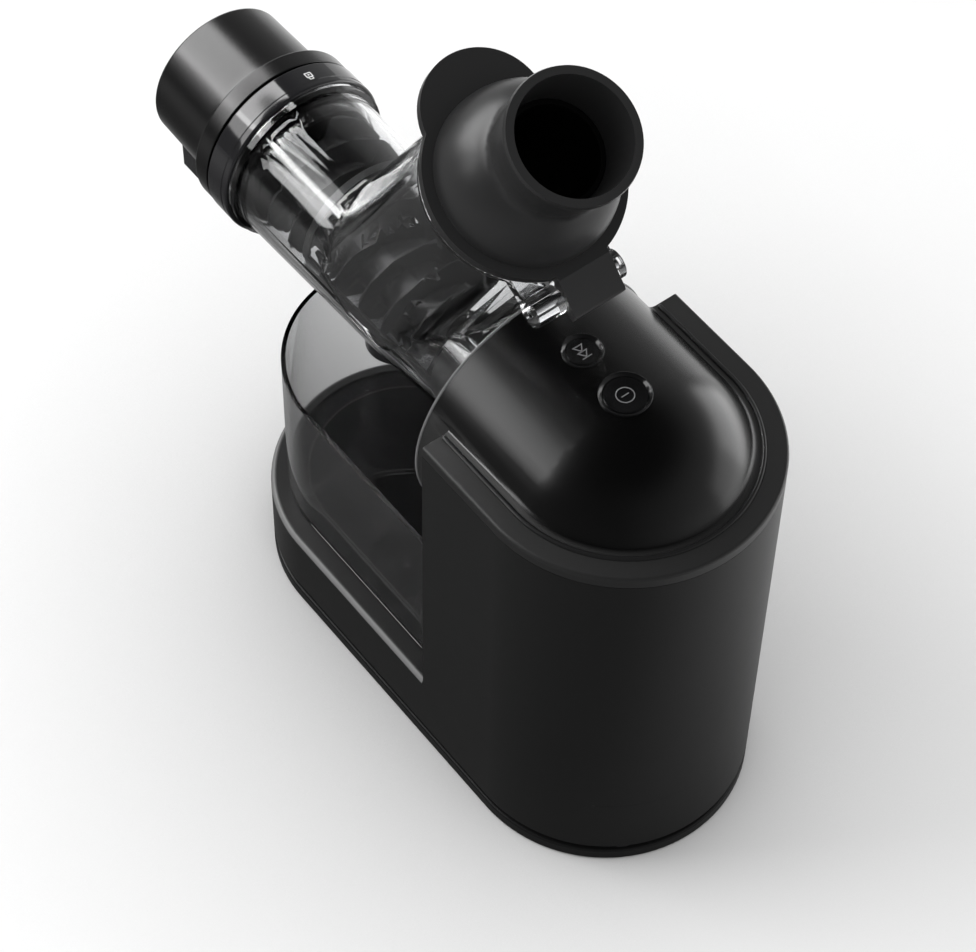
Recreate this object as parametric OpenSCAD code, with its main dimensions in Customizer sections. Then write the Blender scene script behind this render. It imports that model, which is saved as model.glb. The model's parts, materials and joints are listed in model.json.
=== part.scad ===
// Horizontal cold press juicer with a deck for its jug, a tilted feed chute and a motor tower.
// The unit is the millimetre. +Z is up, the pulp cap faces -Y, and the motor tower stands at +Y.
// The origin is on the resting surface, below the middle of the whole outline.

/* [Base and tower] */
// Width of the base and of the motor tower
base_w = 144; // [136:1:156]
// Distance between the centres of the two round ends of the base
base_straight = 155; // [140:1:165]
// Height of the deck that the jug stands on
deck_h = 50.8; // [46:0.1:56]
// Radius of the deck's upper edge
deck_edge = 3; // [1:0.5:5]
// Wall thickness of the housing shells
wall = 2.5; // [2:0.1:3]
// Top of the ring around the foot of the base
ring_h = 8; // [6.5:0.5:10]
// Height of the shadow gap between the ring and the housing
ring_gap = 4.5; // [2:0.5:6]
// Depth of the tower from its flat front to its round back
tower_depth = 123.4; // [116:0.1:130]
// Height of the tower's wall, up to the seam of the top cover
tower_h = 235.5; // [228:0.5:242]
// Height of the top cover's ledge
ledge_h = 6; // [5:0.1:8]
// Radius of the ledge's upper edge
ledge_edge = 1.5; // [0.5:0.5:2.5]
// Height that the rubber feet stand out
foot_h = 1.5; // [1:0.1:2.5]
// Radius of a rubber foot
foot_r = 8; // [6:0.5:10]

/* [Barrel] */
// Height of the drum's axis
axis_h = 210.5; // [206:0.5:214]
// Radius of the barrel and of its ball end
barrel_r = 64.9; // [62:0.1:68]
// How far the barrel stands out ahead of the tower's front
snout = 14.2; // [10:0.1:18]
// Radius of the hollow where the barrel rises from the ledge
dome_fillet = 6; // [3:0.5:7]

/* [Buttons] */
// Outer radius of the power button's bezel
power_r = 12; // [11:0.1:13]
// Outer radius of the reverse button's bezel
reverse_r = 9.5; // [8.5:0.1:10.5]
// Distance from the power button to the start of the ball end
power_back = 2; // [0:0.5:6]
// Distance between the two buttons
button_pitch = 29.4; // [26:0.1:32]
// Width of the bezel's rim
bezel_rim = 1.8; // [1.2:0.1:2.2]
// Travel of a button
button_travel = 1.5; // [1:0.1:2]

/* [Jug] */
// Width of the jug
jug_w = 122.8; // [116:0.2:128]
// Gap between the jug's rim and the barrel above it
jug_room = 3.3; // [2.5:0.1:10]
// Wall thickness of the jug
jug_wall = 2.2; // [1.8:0.1:3]
// Radius of the jug's rear corners
jug_corner = 14; // [8:1:20]
// Distance from the centre of the jug's round front to the centre of the base's round front
jug_set_in = 3.5; // [3:0.5:8]

/* [Drum] */
// Radius of the drum's neck, where it enters the barrel
neck_r = 35; // [34:0.1:36]
// Radius of the drum at its throat
throat_r = 38.2; // [37.5:0.1:39]
// Radius of the drum at its mouth
mouth_r = 40.7; // [40:0.1:41.5]
// Wall thickness of the drum
drum_wall = 3; // [2.5:0.1:3.2]
// Length of the neck in front of the barrel
neck_len = 30; // [26:0.5:34]
// Length of the cone from the neck to the throat
throat_len = 47.7; // [42:0.1:54]
// Length of the drum from its throat to the collar
body_len = 98.1; // [92:0.1:104]
// Radius of the collar
collar_r = 45; // [44.4:0.1:46]
// Length of the collar
collar_len = 14.9; // [12:0.1:17]
// Distance of the juice spout ahead of the barrel's face
spout_ahead = 102; // [96:0.5:108]
// Outer radius of the juice spout
spout_r = 15.4; // [14.5:0.1:16.5]
// Clearance between the juice spout and the jug's rim
spout_clear = 2.7; // [2:0.1:5]

/* [Chute and lid] */
// Distance from the barrel's upper front edge to the chute's axis, along the drum
chute_gap = 50.6; // [48:0.1:54]
// Length of the chute's axis from the drum's axis to the lid
chute_len = 161.6; // [154:0.1:168]
// Tilt of the chute's axis towards the tower
chute_tilt = 29; // [27:0.25:30]
// Outer radius of the chute at the lid
chute_r = 41.5; // [40.5:0.1:42]
// Radius that the chute's cone would have at the drum's axis
chute_foot_r = 45.5; // [43:0.1:46]
// Half width of the chute between its flat sides at the drum's axis
chute_side = 39.8; // [39:0.1:41]
// Tilt of the lid's plate
lid_tilt = 27.5; // [26:0.25:29]
// Radius of the lid's plate
lid_r = 45.6; // [45.2:0.1:47]
// Thickness of the lid's plate
lid_t = 5; // [4.5:0.1:6]
// Radius of the thumb lobe
lobe_r = 28.8; // [26:0.1:31]
// Distance of the thumb lobe from the lid's centre
lobe_out = 31.2; // [29:0.1:34]
// Half width of the hinge tab
tab_half = 13.5; // [12:0.1:16]
// Depth of the hinge tab's top below the lid's top
tab_drop = 6; // [5.5:0.1:7]
// Distance of the hinge pin behind the lid's centre
pin_back = 50.5; // [49.5:0.1:52]
// Depth of the hinge pin below the lid's top
pin_drop = 10.5; // [10:0.1:11]
// Radius of the dome at the foot of the funnel
dome_r = 40.7; // [39:0.1:42]
// Height of the funnel's mouth above the lid
funnel_h = 59.3; // [54:0.1:64]
// Tilt of the funnel's axis
funnel_tilt = 30.5; // [29:0.25:32]
// Outer radius of the funnel's mouth
funnel_r = 30.2; // [29:0.1:31.5]
// Radius of the small feed opening inside the funnel
feed_r = 20.9; // [19:0.1:22]

/* [Auger and sieve] */
// Radius of the auger's flights inside the sieve
flight_r = 29; // [28:0.1:29.4]
// Radius of the auger's flights ahead of the sieve
press_r = 34; // [32.5:0.1:34.6]
// Length that one flight takes for a full turn
flight_pitch = 34; // [28:1:42]
// Thickness of a flight
flight_t = 6; // [4:0.5:7]
// Radius of the auger's core at its rear end
core_rear_r = 13.5; // [13:0.1:15]
// Radius of the auger's core at its front end
core_front_r = 22; // [19:0.1:24]
// Wall thickness of the sieve
sieve_wall = 1.5; // [1.2:0.1:1.7]
// Width of a slot in the sieve
sieve_slot = 1.2; // [0.8:0.1:1.6]

/* [End cap] */
// Radius of the cap at its end face
cap_r = 37.3; // [36.5:0.1:38]
// Radius of the cap beside its ring
cap_root_r = 38.2; // [37.8:0.1:39.5]
// Length of the cap in front of its ring
cap_len = 46.3; // [42:0.1:52]
// Length of the cap's ring
cap_ring_len = 8.6; // [8:0.1:10]
// Gap between the cap's ring and the collar
collar_gap = 1.4; // [1:0.1:2]
// Half the width of the pulp spout
pulp_half = 27; // [23:0.5:29]
// Length of the pulp spout along the drum
pulp_len = 21.5; // [18:0.5:24]
// Distance from the cap's end face to the pulp spout
pulp_in = 5.5; // [4:0.5:7]
// Distance of the pulp spout's mouth below the drum's axis
pulp_drop = 45.5; // [43:0.5:48]

/* [Gear train] */
// Module of the first and second pair of gears
mod_1 = 1; // [0.9:0.05:1.05]
mod_2 = 1.25; // [1.15:0.05:1.3]
// Room between the output wheel's teeth and the switch board
gear_room = 9; // [8.5:0.1:9.5]
// Teeth of the pinion on the motor's shaft
teeth_motor = 12; // [12:1:14]
// Teeth of the first wheel and of its pinion
teeth_wheel_1 = 48; // [44:1:50]
teeth_pinion_1 = 12; // [12:1:14]
// Teeth of the second wheel and of its pinion
teeth_wheel_2 = 48; // [44:1:50]
teeth_pinion_2 = 14; // [13:1:15]
// Teeth of the output wheel
teeth_out = 42; // [38:1:43]
// Width of the first, second and third pair of gears
face_1 = 5; // [4:0.5:6]
face_2 = 7; // [6:0.5:8]
face_3 = 12; // [10:0.5:14]
// Wall thickness of the gearbox
box_wall = 3; // [2.5:0.1:3.5]
// Radius of the output shaft
shaft_r = 7.5; // [7:0.1:8]

/* [Motor] */
// Outer radius of the motor
motor_r = 32; // [29:0.5:34]
// Length of the motor's can
motor_len = 50; // [44:0.5:51]
// Radius of the motor's shaft
rotor_shaft_r = 2.5; // [2:0.1:3]
// Radius of the cooling fan
fan_r = 24; // [20:0.5:25]

/* [Hidden] */
$fn = 96;
eps = 0.01;
fit = 0.05;        // radial clearance of pieces that are pressed or screwed together
run = 0.06;        // radial clearance of a running shaft
soft = 0.35;       // clearance around a seal
seam = 0.3;        // gap of a parting line

base_r = base_w / 2;
drum_reach = neck_len + throat_len + body_len + collar_len + collar_gap + cap_ring_len + cap_len;
rear_y = (tower_depth + snout + drum_reach) / 2;
arc_y = rear_y - base_r;                  // centre of the tower's round back
front_y = rear_y - tower_depth;           // the tower's flat front
face_y = front_y - snout;                 // the barrel's front face
base_front_y = arc_y - base_straight;     // centre of the base's round front
neck_y = face_y - neck_len;
throat_y = neck_y - throat_len;
collar_y = throat_y - body_len;           // rear face of the collar
collar_front = collar_y - collar_len;
ring_y = collar_front - collar_gap;       // rear face of the cap's ring
cap_y = ring_y - cap_ring_len;            // where the cap's ring ends and its skirt starts
end_y = cap_y - cap_len;                  // end face of the cap

// ---- shared shapes ----

// Points of an arc about (x, y)
function arc(x, y, r, from, to, n = 6) =
    [for (i = [0:n]) let (a = from + (to - from) * i / n) [x + r * cos(a), y + r * sin(a)]];

// Half section of a slab with a rounded upper edge
function slab_half(r, h, edge) = concat([[0, 0], [r, 0]], arc(r - edge, h - edge, edge, 0, 90), [[0, h]]);

// The same section over the full width
function slab_full(r, h, edge) =
    concat([[-r, 0], [r, 0]], arc(r - edge, h - edge, edge, 0, 90), arc(edge - r, h - edge, edge, 90, 180));

// Round-ended slab with a rounded upper edge, between the arc centres y0 and y1
module slab(r, h, edge, y0, y1) {
    for (y = [y0, y1]) translate([0, y, 0]) rotate_extrude() polygon(slab_half(r, h, edge));
    translate([0, y1, 0]) rotate([90, 0, 0]) linear_extrude(y1 - y0) polygon(slab_full(r, h, edge));
}

// Round-ended plate from z0 to z1
module stadium(r, z0, z1, y0 = base_front_y, y1 = arc_y) {
    translate([0, 0, z0]) linear_extrude(z1 - z0) {
        for (y = [y0, y1]) translate([0, y]) circle(r);
        translate([-r, y0]) square([2 * r, y1 - y0]);
    }
}

// What lies behind the plane y and between the heights z0 and z1
module behind(y, z0, z1) translate([-base_w, y, z0]) cube([2 * base_w, 2 * base_w, z1 - z0]);

// Cylinder along the drum's axis, from y0 to y1
module rod(r, y0, y1, x = 0, z = axis_h, r1 = undef)
    translate([x, y1, z]) rotate([90, 0, 0]) cylinder(r1 = is_undef(r1) ? r : r1, r2 = r, h = y1 - y0);

// Tube along the drum's axis, from y0 to y1
module tube(r_out, r_in, y0, y1, x = 0, z = axis_h) difference() {
    rod(r_out, y0, y1, x, z);
    rod(r_in, y0 - 1, y1 + 1, x, z);
}

// Horizontal barrel with a ball end at the tower's round back
module capsule(r, y0) {
    rod(r, y0, arc_y);
    translate([0, arc_y, axis_h]) sphere(r);
}

// Wedge about the drum's axis, centred on the angle a from +X towards +Z
module wedge(a, half, y0, y1, r = 80) translate([0, y1, axis_h]) rotate([90, 0, 0])
    linear_extrude(y1 - y0) polygon([[0, 0], [r * cos(a - half), r * sin(a - half)],
        [1.2 * r * cos(a), 1.2 * r * sin(a)], [r * cos(a + half), r * sin(a + half)]]);

// Frame of the lid: its origin is the middle of the plate's top, +Z leaves the plate, -Y runs to the lobe
jug_h = axis_h - barrel_r - jug_room - deck_h;
chute_ahead = chute_gap + barrel_r * tan(chute_tilt);
lid_y = face_y - chute_ahead + chute_len * sin(chute_tilt);
lid_z = axis_h + chute_len * cos(chute_tilt);
module at_lid(tilt = lid_tilt) translate([0, lid_y, lid_z]) rotate([-tilt, 0, 0]) children();

// Pan-head screw that stands on the plane z = 0 with its shank below
screw_r = 1.45;
pilot_r = screw_r + fit;
head_r = 3;
head_h = 2;
module screw(len) difference() {
    union() {
        cylinder(r = head_r, h = head_h);
        translate([0, 0, -len]) cylinder(r = screw_r, h = len + eps);
    }
    for (a = [0, 90]) rotate(a) translate([-1.6, -0.35, head_h - 0.9]) cube([3.2, 0.7, 1]);
}

// ---- base and tower ----

lip_r = base_r - wall - seam;             // lip of the bottom plate, inside the housing
plate_t = 4;
screw_sink = head_h + 0.3;                // depth of the recess for a screw under the base
lip_top = ring_h + ring_gap + 5;
boss_r = 5;
base_boss_x = base_r - wall - boss_r + 0.5;
base_bosses = [for (y = [base_front_y + 12, arc_y - 10], s = [-1, 1]) [s * base_boss_x, y]];
vent_pitch = 8;
vent_w = 3;
vent_len = 50;
cord_angle = 30.7;                        // direction of the cord's outlet, from +Y towards +X
cord_half = 1.4;
cord_bush_r = 2.1;
feet = [for (y = [base_front_y - 20, arc_y + 20], s = [-1, 1]) [s * base_r * 0.55, y]];
foot_set = 1.5;                           // depth of the pocket that a foot sits in

module bottom_plate() color("#1d1d1e") difference() {
    union() {
        translate([0, 0, foot_h]) slab(base_r, ring_h - foot_h, 1.2, base_front_y, arc_y);
        stadium(lip_r, foot_h + 1, lip_top);
    }
    stadium(lip_r - wall, foot_h + plate_t, lip_top + 1);
    for (p = feet) translate([p.x, p.y, foot_h - 1]) cylinder(r = foot_r + fit, h = foot_set + 1);
    for (i = [-3:3]) translate([i * vent_pitch - vent_w / 2, arc_y - vent_len, 0])
        cube([vent_w, vent_len, 2 * ring_h]);
    for (p = base_bosses) translate([p.x, p.y, 0]) {
        cylinder(r = screw_r + 0.3, h = 2 * ring_h);
        cylinder(r = head_r + 0.3, h = foot_h + screw_sink);
    }
    cord_oval(cord_bush_r + fit, lip_r - 2 * wall, lip_r + 1);
    // the lip makes way for the screw bosses
    for (p = base_bosses) translate([p.x, p.y, foot_h + plate_t]) cylinder(r = boss_r + 0.3, h = lip_top);
}

module rubber_feet() color("#2a2a2a") for (p = feet) translate([p.x, p.y, 0]) {
    cylinder(r1 = foot_r - 0.6, r2 = foot_r, h = 0.6);
    translate([0, 0, 0.6]) cylinder(r = foot_r, h = foot_h + foot_set - 0.6);
}

// Axes of the gear train
switch_drop = 17.4;                       // from the crest to the underside of the switch board
mod_3 = 2 * (barrel_r - switch_drop - gear_room) / (teeth_out + 2); // module of the last pair
dist_1 = mod_1 * (teeth_motor + teeth_wheel_1) / 2;
dist_2 = mod_2 * (teeth_pinion_1 + teeth_wheel_2) / 2;
dist_3 = mod_3 * (teeth_pinion_2 + teeth_out) / 2;
lean_3 = -106.6;                          // direction from the output axis to the second axis
lean_2 = -54.1;                           // direction from the second axis to the first
out_c = [0, axis_h];
second_c = out_c + dist_3 * [cos(lean_3), sin(lean_3)];
first_c = second_c + dist_2 * [cos(lean_2), sin(lean_2)];
lean_1 = -acos(-first_c.x / dist_1);      // direction from the first axis to the motor, below the barrel
motor_c = first_c + dist_1 * [cos(lean_1), sin(lean_1)];
// Plan of the gearbox: a round chamber about each gear, joined along the line of the gears
room = 2;
chambers = [
    [out_c, mod_3 * teeth_out / 2 + mod_3 + room], [second_c, mod_2 * teeth_wheel_2 / 2 + mod_2 + room],
    [first_c, mod_1 * teeth_wheel_1 / 2 + mod_1 + room], [motor_c, mod_1 * teeth_motor / 2 + mod_1 + room]
];

// Where the gearbox is screwed to the tower's front wall
socket_hole_r = neck_r + 9;               // opening in the tower's front wall behind the barrel
mount_x = socket_hole_r + 4;
mount_low = motor_c.y + 8.25;
mount_high = second_c.y + 30;
mounts_xz = [for (z = [mount_low, mount_high], s = [-1, 1]) [s * mount_x, z]];
cover_boss_h = 14;
cover_boss_r = 4;
cover_boss_out = base_r - wall - cover_boss_r + 0.5;
cover_bosses = [for (a = [25, 155]) [0, arc_y] + cover_boss_out * [cos(a), sin(a)]];

// Where the control board is held
board_x = wall + 11.5 - base_r;
board_t = 1.6;
board_y = front_y + 26;
board_z = 60;
board_len = 55;
board_high = 60;
board_in = 4;
board_holes = [for (y = [board_y + board_in, board_y + board_len - board_in],
    z = [board_z + board_in, board_z + board_high - board_in]) [y, z]];

module outer_housing() color("#202021") difference() {
    union() {
        difference() {
            union() {
                translate([0, 0, ring_h + ring_gap])
                    slab(base_r, deck_h - ring_h - ring_gap, deck_edge, base_front_y, arc_y);
                intersection() {
                    stadium(base_r, ring_h + ring_gap, tower_h);
                    behind(front_y, 0, tower_h);
                }
            }
            stadium(base_r - wall, 0, deck_h - wall);
            intersection() {
                stadium(base_r - wall, deck_h - wall - 1, tower_h + 1);
                behind(front_y + wall, 0, tower_h + 1);
            }
        }
        for (p = base_bosses) translate([p.x, p.y, foot_h + plate_t + seam])
            cylinder(r = boss_r, h = deck_h - wall - foot_h - plate_t - seam + eps);
        for (p = mounts_xz) rod(boss_r, front_y + wall - eps, front_y + mount_gap, p.x, p.y);
        for (p = board_holes) translate([-base_r + wall / 2, p.x, p.y]) rotate([0, 90, 0])
            cylinder(r = 3, h = board_x - board_t / 2 + base_r - wall / 2);
        for (p = cover_bosses) translate([p.x, p.y, tower_h - cover_boss_h])
            cylinder(r = cover_boss_r, h = cover_boss_h - 2);
    }
    rod(socket_hole_r, front_y - 1, front_y + wall + 1);
    for (p = base_bosses) translate([p.x, p.y, 0]) cylinder(r = pilot_r, h = deck_h - 12);
    for (p = mounts_xz) rod(pilot_r, front_y + wall + 1, front_y + mount_gap + 1, p.x, p.y);
    for (p = board_holes) translate([-base_r + wall + 1, p.x, p.y]) rotate([0, 90, 0])
        cylinder(r = pilot_r, h = base_r);
    for (p = cover_bosses) translate([p.x, p.y, tower_h - cover_boss_h - 1]) cylinder(r = pilot_r, h = 20);
}

// ---- top cover ----

ledge_top = tower_h + seam + ledge_h;
crest = axis_h + barrel_r;
// Centre of the hollow where the barrel rises from the ledge, and the angle at which it meets the barrel
fillet_x = sqrt(pow(barrel_r + dome_fillet, 2) - pow(ledge_top + dome_fillet - axis_h, 2));
fillet_z = ledge_top + dome_fillet;
fillet_end = 180 + atan2(fillet_z - axis_h, fillet_x);
function fillet_side(m) = let (inner = [
        [m * (sqrt(barrel_r * barrel_r - pow(ledge_top - axis_h, 2)) - 1.2), ledge_top - 1],
        [m * fillet_x, ledge_top - 1]])
    concat(inner, [for (p = arc(fillet_x, fillet_z, dome_fillet, 270, fillet_end, 5)) [m * p.x, p.y]],
    [[m * (fillet_x + dome_fillet * cos(fillet_end) - 1.2), fillet_z + dome_fillet * sin(fillet_end)]]);

power_y = arc_y - power_back;
reverse_y = power_y - button_pitch;
bezel_top = crest + 0.5;
bezel_low = crest - 8.4;
bezel_floor = 1.5;
switch_z = crest - switch_drop;           // underside of the switch board
switch_w = 22;
switch_posts = [for (s = [-1, 1]) [s * 8, (power_y + reverse_y) / 2 - 1]];

module top_cover() color("#1b1b1c") {
    difference() {
        union() {
            intersection() {
                translate([0, 0, tower_h + seam]) slab(base_r, ledge_h, ledge_edge, front_y + 1, arc_y);
                behind(front_y, tower_h, ledge_top + 1);
            }
            intersection() {
                capsule(barrel_r, face_y);
                union() {
                    behind(face_y - 1, tower_h + seam, crest + 1);
                    translate([-base_w, face_y - 1, 0]) cube([2 * base_w, snout + 1, 2 * axis_h]);
                }
            }
            translate([0, arc_y, 0]) rotate_extrude(angle = 180) polygon(fillet_side(1));
            for (m = [-1, 1]) translate([0, arc_y, 0]) rotate([90, 0, 0])
                linear_extrude(arc_y - front_y) polygon(fillet_side(m));
        }
        capsule(barrel_r - wall, face_y - 1);
        intersection() {
            stadium(base_r - wall, tower_h - 1, ledge_top - wall, front_y, arc_y);
            behind(front_y + wall, tower_h - 1, ledge_top);
        }
        translate([0, power_y, axis_h]) cylinder(r = power_r + fit, h = 2 * barrel_r);
        translate([0, reverse_y, axis_h]) cylinder(r = reverse_r + fit, h = 2 * barrel_r);
    }
    // posts for the cover's screws, for the switch board and for the socket
    difference() {
        union() {
            for (p = cover_bosses) translate([p.x, p.y, tower_h - 2 + seam])
                cylinder(r = cover_boss_r - 0.8, h = ledge_top - wall - tower_h + 2 - seam + eps);
            intersection() {
                for (p = switch_posts) translate([p.x, p.y, switch_z + board_t])
                    cylinder(r = 2.6, h = crest - switch_z);
                capsule(barrel_r - wall + 0.5, face_y);
            }
            intersection() {
                for (a = socket_post_angles) rod(4.2, socket_y + socket_t, front_y,
                    socket_post_r * cos(a), axis_h + socket_post_r * sin(a));
                rod(barrel_r - wall + 0.5, face_y, front_y);
            }
        }
        for (p = cover_bosses) translate([p.x, p.y, tower_h - 3]) cylinder(r = pilot_r, h = 5);
        for (p = switch_posts) translate([p.x, p.y, switch_z]) cylinder(r = pilot_r, h = 10);
        for (a = socket_post_angles) rod(pilot_r, socket_y, front_y - 2,
            socket_post_r * cos(a), axis_h + socket_post_r * sin(a));
    }
}

housing_screw_len = 14;
module housing_screws() color("#9a9a9c") {
    for (p = base_bosses) translate([p.x, p.y, foot_h + screw_sink]) rotate([180, 0, 0])
        screw(housing_screw_len);
    for (p = cover_bosses) translate([p.x, p.y, tower_h - cover_boss_h]) rotate([180, 0, 0])
        screw(cover_boss_h);
}

// Flat-oval rod that points outwards through the shadow gap, from the radius r0 to r1
module cord_oval(r, r0, r1) translate([0, arc_y, ring_h + ring_gap / 2]) rotate(-cord_angle)
    rotate([-90, 0, 0]) translate([0, 0, r0]) linear_extrude(r1 - r0) {
        for (s = [-1, 1]) translate([s * cord_half, 0]) circle(r);
        translate([-cord_half, -r]) square([2 * cord_half, 2 * r]);
    }

module cord_bush() color("#262626") difference() {
    union() {
        cord_oval(cord_bush_r, lip_r - wall - 3, lip_r + 0.8);
        cord_oval(cord_bush_r + 1.2, lip_r - wall - 3, lip_r - wall - 0.5);
    }
    cord_oval(cord_bush_r - 0.7, lip_r - 2 * wall - 3, lip_r + 2);
}

// ---- buttons ----

module bezel(r, y) color("#0f0f10") translate([0, y, 0]) difference() {
    union() {
        translate([0, 0, bezel_low]) cylinder(r = r, h = bezel_top - bezel_low);
        translate([0, 0, bezel_low]) cylinder(r = r + 1.5, h = bezel_floor);
    }
    translate([0, 0, bezel_low + bezel_floor]) cylinder(r = r - bezel_rim, h = barrel_r);
    translate([0, 0, bezel_low - 1]) cylinder(r = 3, h = 4);
}

button_clear = 0.3;
button_top = crest - 0.5;
button_t = 3.5;
stem_r = 2.5;
tact_h = 3.5;
plunger_h = 1.4;
stem_low = switch_z + board_t + tact_h + plunger_h + button_travel + 0.1;
module button(r, y) color("#141415") translate([0, y, 0]) {
    translate([0, 0, button_top - button_t]) cylinder(r = r - bezel_rim - button_clear, h = button_t);
    translate([0, 0, stem_low]) cylinder(r = stem_r, h = button_top - button_t - stem_low + eps);
}

module power_bezel() bezel(power_r, power_y);
module reverse_bezel() bezel(reverse_r, reverse_y);
module power_button() button(power_r, power_y);
module reverse_button() button(reverse_r, reverse_y);

module switch_board() color("#1f4a2f") difference() {
    translate([-switch_w / 2, reverse_y - 8, switch_z]) cube([switch_w, power_y - reverse_y + 16, board_t]);
    for (p = switch_posts) translate([p.x, p.y, switch_z - 1]) cylinder(r = screw_r + 0.2, h = 5);
}

module tact_switches() color("#3a3a3c") for (y = [power_y, reverse_y]) translate([0, y, switch_z + board_t]) {
    translate([-3, -3, 0]) cube([6, 6, tact_h]);
    cylinder(r = 1.7, h = tact_h + plunger_h);
}

// ---- control board ----

module control_board() color("#1f4a2f") difference() {
    translate([board_x - board_t / 2, board_y, board_z]) cube([board_t, board_len, board_high]);
    for (p = board_holes) translate([board_x - 2, p.x, p.y]) rotate([0, 90, 0])
        cylinder(r = screw_r + 0.2, h = 4);
}

module board_capacitor() color("#2b2b66") translate([board_x + board_t / 2, board_y + 16, board_z + 18])
    rotate([0, 90, 0]) cylinder(r = 8, h = 20);

module board_relay() color("#3c3c40") translate([board_x + board_t / 2, board_y + 32, board_z + 14])
    cube([14, 15, 28]);

board_screw_len = 6;
module board_screws() color("#9a9a9c") {
    for (p = board_holes) translate([board_x + board_t / 2, p.x, p.y]) rotate([0, 90, 0]) screw(board_screw_len);
    for (p = switch_posts) translate([p.x, p.y, switch_z]) rotate([180, 0, 0]) screw(board_screw_len);
}

// ---- drum socket ----

socket_recess = 2;                        // depth of the socket's face inside the barrel's edge
socket_y = face_y + socket_recess;
socket_t = 3.5;
socket_bore = neck_r + 1.4;
socket_sleeve = socket_hole_r - 2;
neck_end = face_y + 18.4;                 // rear end of the drum
socket_end = neck_end + 1;
key_w = 8;
key_angles = [90, 210, 330];
key_h = 3;
socket_post_angles = [45, 135, 225, 315];
socket_post_r = barrel_r - wall - 3.6;
seal_seat_r = 13;

module drum_socket() color("#242425") difference() {
    union() {
        rod(barrel_r - wall - fit, socket_y, socket_y + socket_t);
        rod(socket_sleeve, socket_y, socket_end + 3);
    }
    rod(socket_bore, socket_y - 1, socket_end);
    rod(seal_seat_r, socket_end - 1, socket_end + 4);
    for (a = key_angles) intersection() {
        rod(neck_r + key_h + 0.8, socket_y - 1, socket_end);
        translate([0, 0, axis_h]) rotate([0, 90 - a, 0]) translate([-key_w / 2 - 0.4, socket_y - 1, 0])
            cube([key_w + 0.8, 40, 60]);
    }
    for (a = socket_post_angles) {
        rod(screw_r + 0.3, socket_y - 1, socket_y + socket_t + 1,
            socket_post_r * cos(a), axis_h + socket_post_r * sin(a));
        rod(head_r + 0.3, socket_y - 1, socket_y + head_h,
            socket_post_r * cos(a), axis_h + socket_post_r * sin(a));
    }
}

module socket_screws() color("#8c8c90") for (a = socket_post_angles)
    translate([socket_post_r * cos(a), socket_y + head_h, axis_h + socket_post_r * sin(a)])
        rotate([90, 0, 0]) screw(6);

module shaft_seal() color("#5a5a5c") tube(seal_seat_r - soft, shaft_r + soft, socket_end + 0.3, socket_end + 3);

module interlock_switch() color("#2d2d30") {
    translate([-10, socket_y + socket_t + 0.3, axis_h + socket_sleeve + 1]) cube([20, 6, 10]);
    rod(1.5, socket_y + socket_t + 6, socket_y + socket_t + 9, 5, axis_h + socket_sleeve + 6);
}

// ---- gear train ----

mount_gap = 15.6;                           // from the tower's front to the gearbox flange
box_y = front_y + mount_gap;              // front face of the gearbox
gear_gap = 1;
out_gear_y = box_y + box_wall + 3;
second_gear_y = out_gear_y + face_3 + gear_gap;
first_gear_y = second_gear_y + face_2 + gear_gap;
cover_y = first_gear_y + face_1 + 1.5;    // front face of the gearbox cover
cover_t = box_wall;

// Half angle of a tooth at the radius r, for involute flanks thinned by the backlash
backlash = 0.18;
function inv(a) = tan(a) * 180 / PI - a;
function half_tooth(m, z, r) = let (rp = m * z / 2, rb = rp * cos(20), a = r > rb ? acos(rb / r) : 0)
    90 / z - backlash / (2 * rp) * 180 / PI + inv(20) - inv(a);
// One tooth's outline, centred on the angle t
function tooth(m, z, t) = let (rp = m * z / 2, rb = rp * cos(20), rf = rp - 1.25 * m, ra = rp + 0.85 * m,
        r1 = max(rb, rf + 0.2 * m), low = half_tooth(m, z, r1), mid = half_tooth(m, z, rp),
        top = half_tooth(m, z, ra))
    [[rf, -low], [r1, -low], [rp, -mid], [ra, -top], [ra, top], [rp, mid], [r1, low], [rf, low]];
module gear_plan(m, z, turn, bore) difference() {
    polygon([for (i = [0:z - 1], p = tooth(m, z, 0)) let (a = turn + 360 * i / z + p.y)
        [p.x * cos(a), p.x * sin(a)]]);
    circle(bore);
}
module gear(m, z, turn, bore, c, y, width) translate([c.x, y + width, c.y]) rotate([90, 0, 0])
    linear_extrude(width) gear_plan(m, z, turn, bore);

// Angle of a wheel with zb teeth that meshes with a wheel of za teeth at the angle ta, in the direction dir
function mesh_turn(dir, ta, za, zb) = dir + 180 - (0.5 - (dir - ta) * za / 360) * 360 / zb;
turn_out = 0;
turn_second = mesh_turn(lean_3, turn_out, teeth_out, teeth_pinion_2);
turn_first = mesh_turn(lean_2, turn_second, teeth_wheel_2, teeth_pinion_1);
turn_motor = mesh_turn(lean_1, turn_first, teeth_wheel_1, teeth_motor);

pin_r = 3;

module motor_pinion() color("#b08d57")
    gear(mod_1, teeth_motor, turn_motor, rotor_shaft_r + 0.02, motor_c, first_gear_y - 1, face_1 + 2);

module first_gear() color("#d8d4c8") {
    gear(mod_1, teeth_wheel_1, turn_first, pin_r + run, first_c, first_gear_y, face_1);
    gear(mod_2, teeth_pinion_1, turn_first, pin_r + run, first_c, second_gear_y - 1, face_2 + 2);
}

module second_gear() color("#d8d4c8") {
    gear(mod_2, teeth_wheel_2, turn_second, pin_r + run, second_c, second_gear_y, face_2);
    gear(mod_3, teeth_pinion_2, turn_second, pin_r + run, second_c, out_gear_y - 1, face_3 + 2);
}

module output_gear() color("#8f9094")
    gear(mod_3, teeth_out, turn_out, shaft_r + 0.02, out_c, out_gear_y, face_3);

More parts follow.
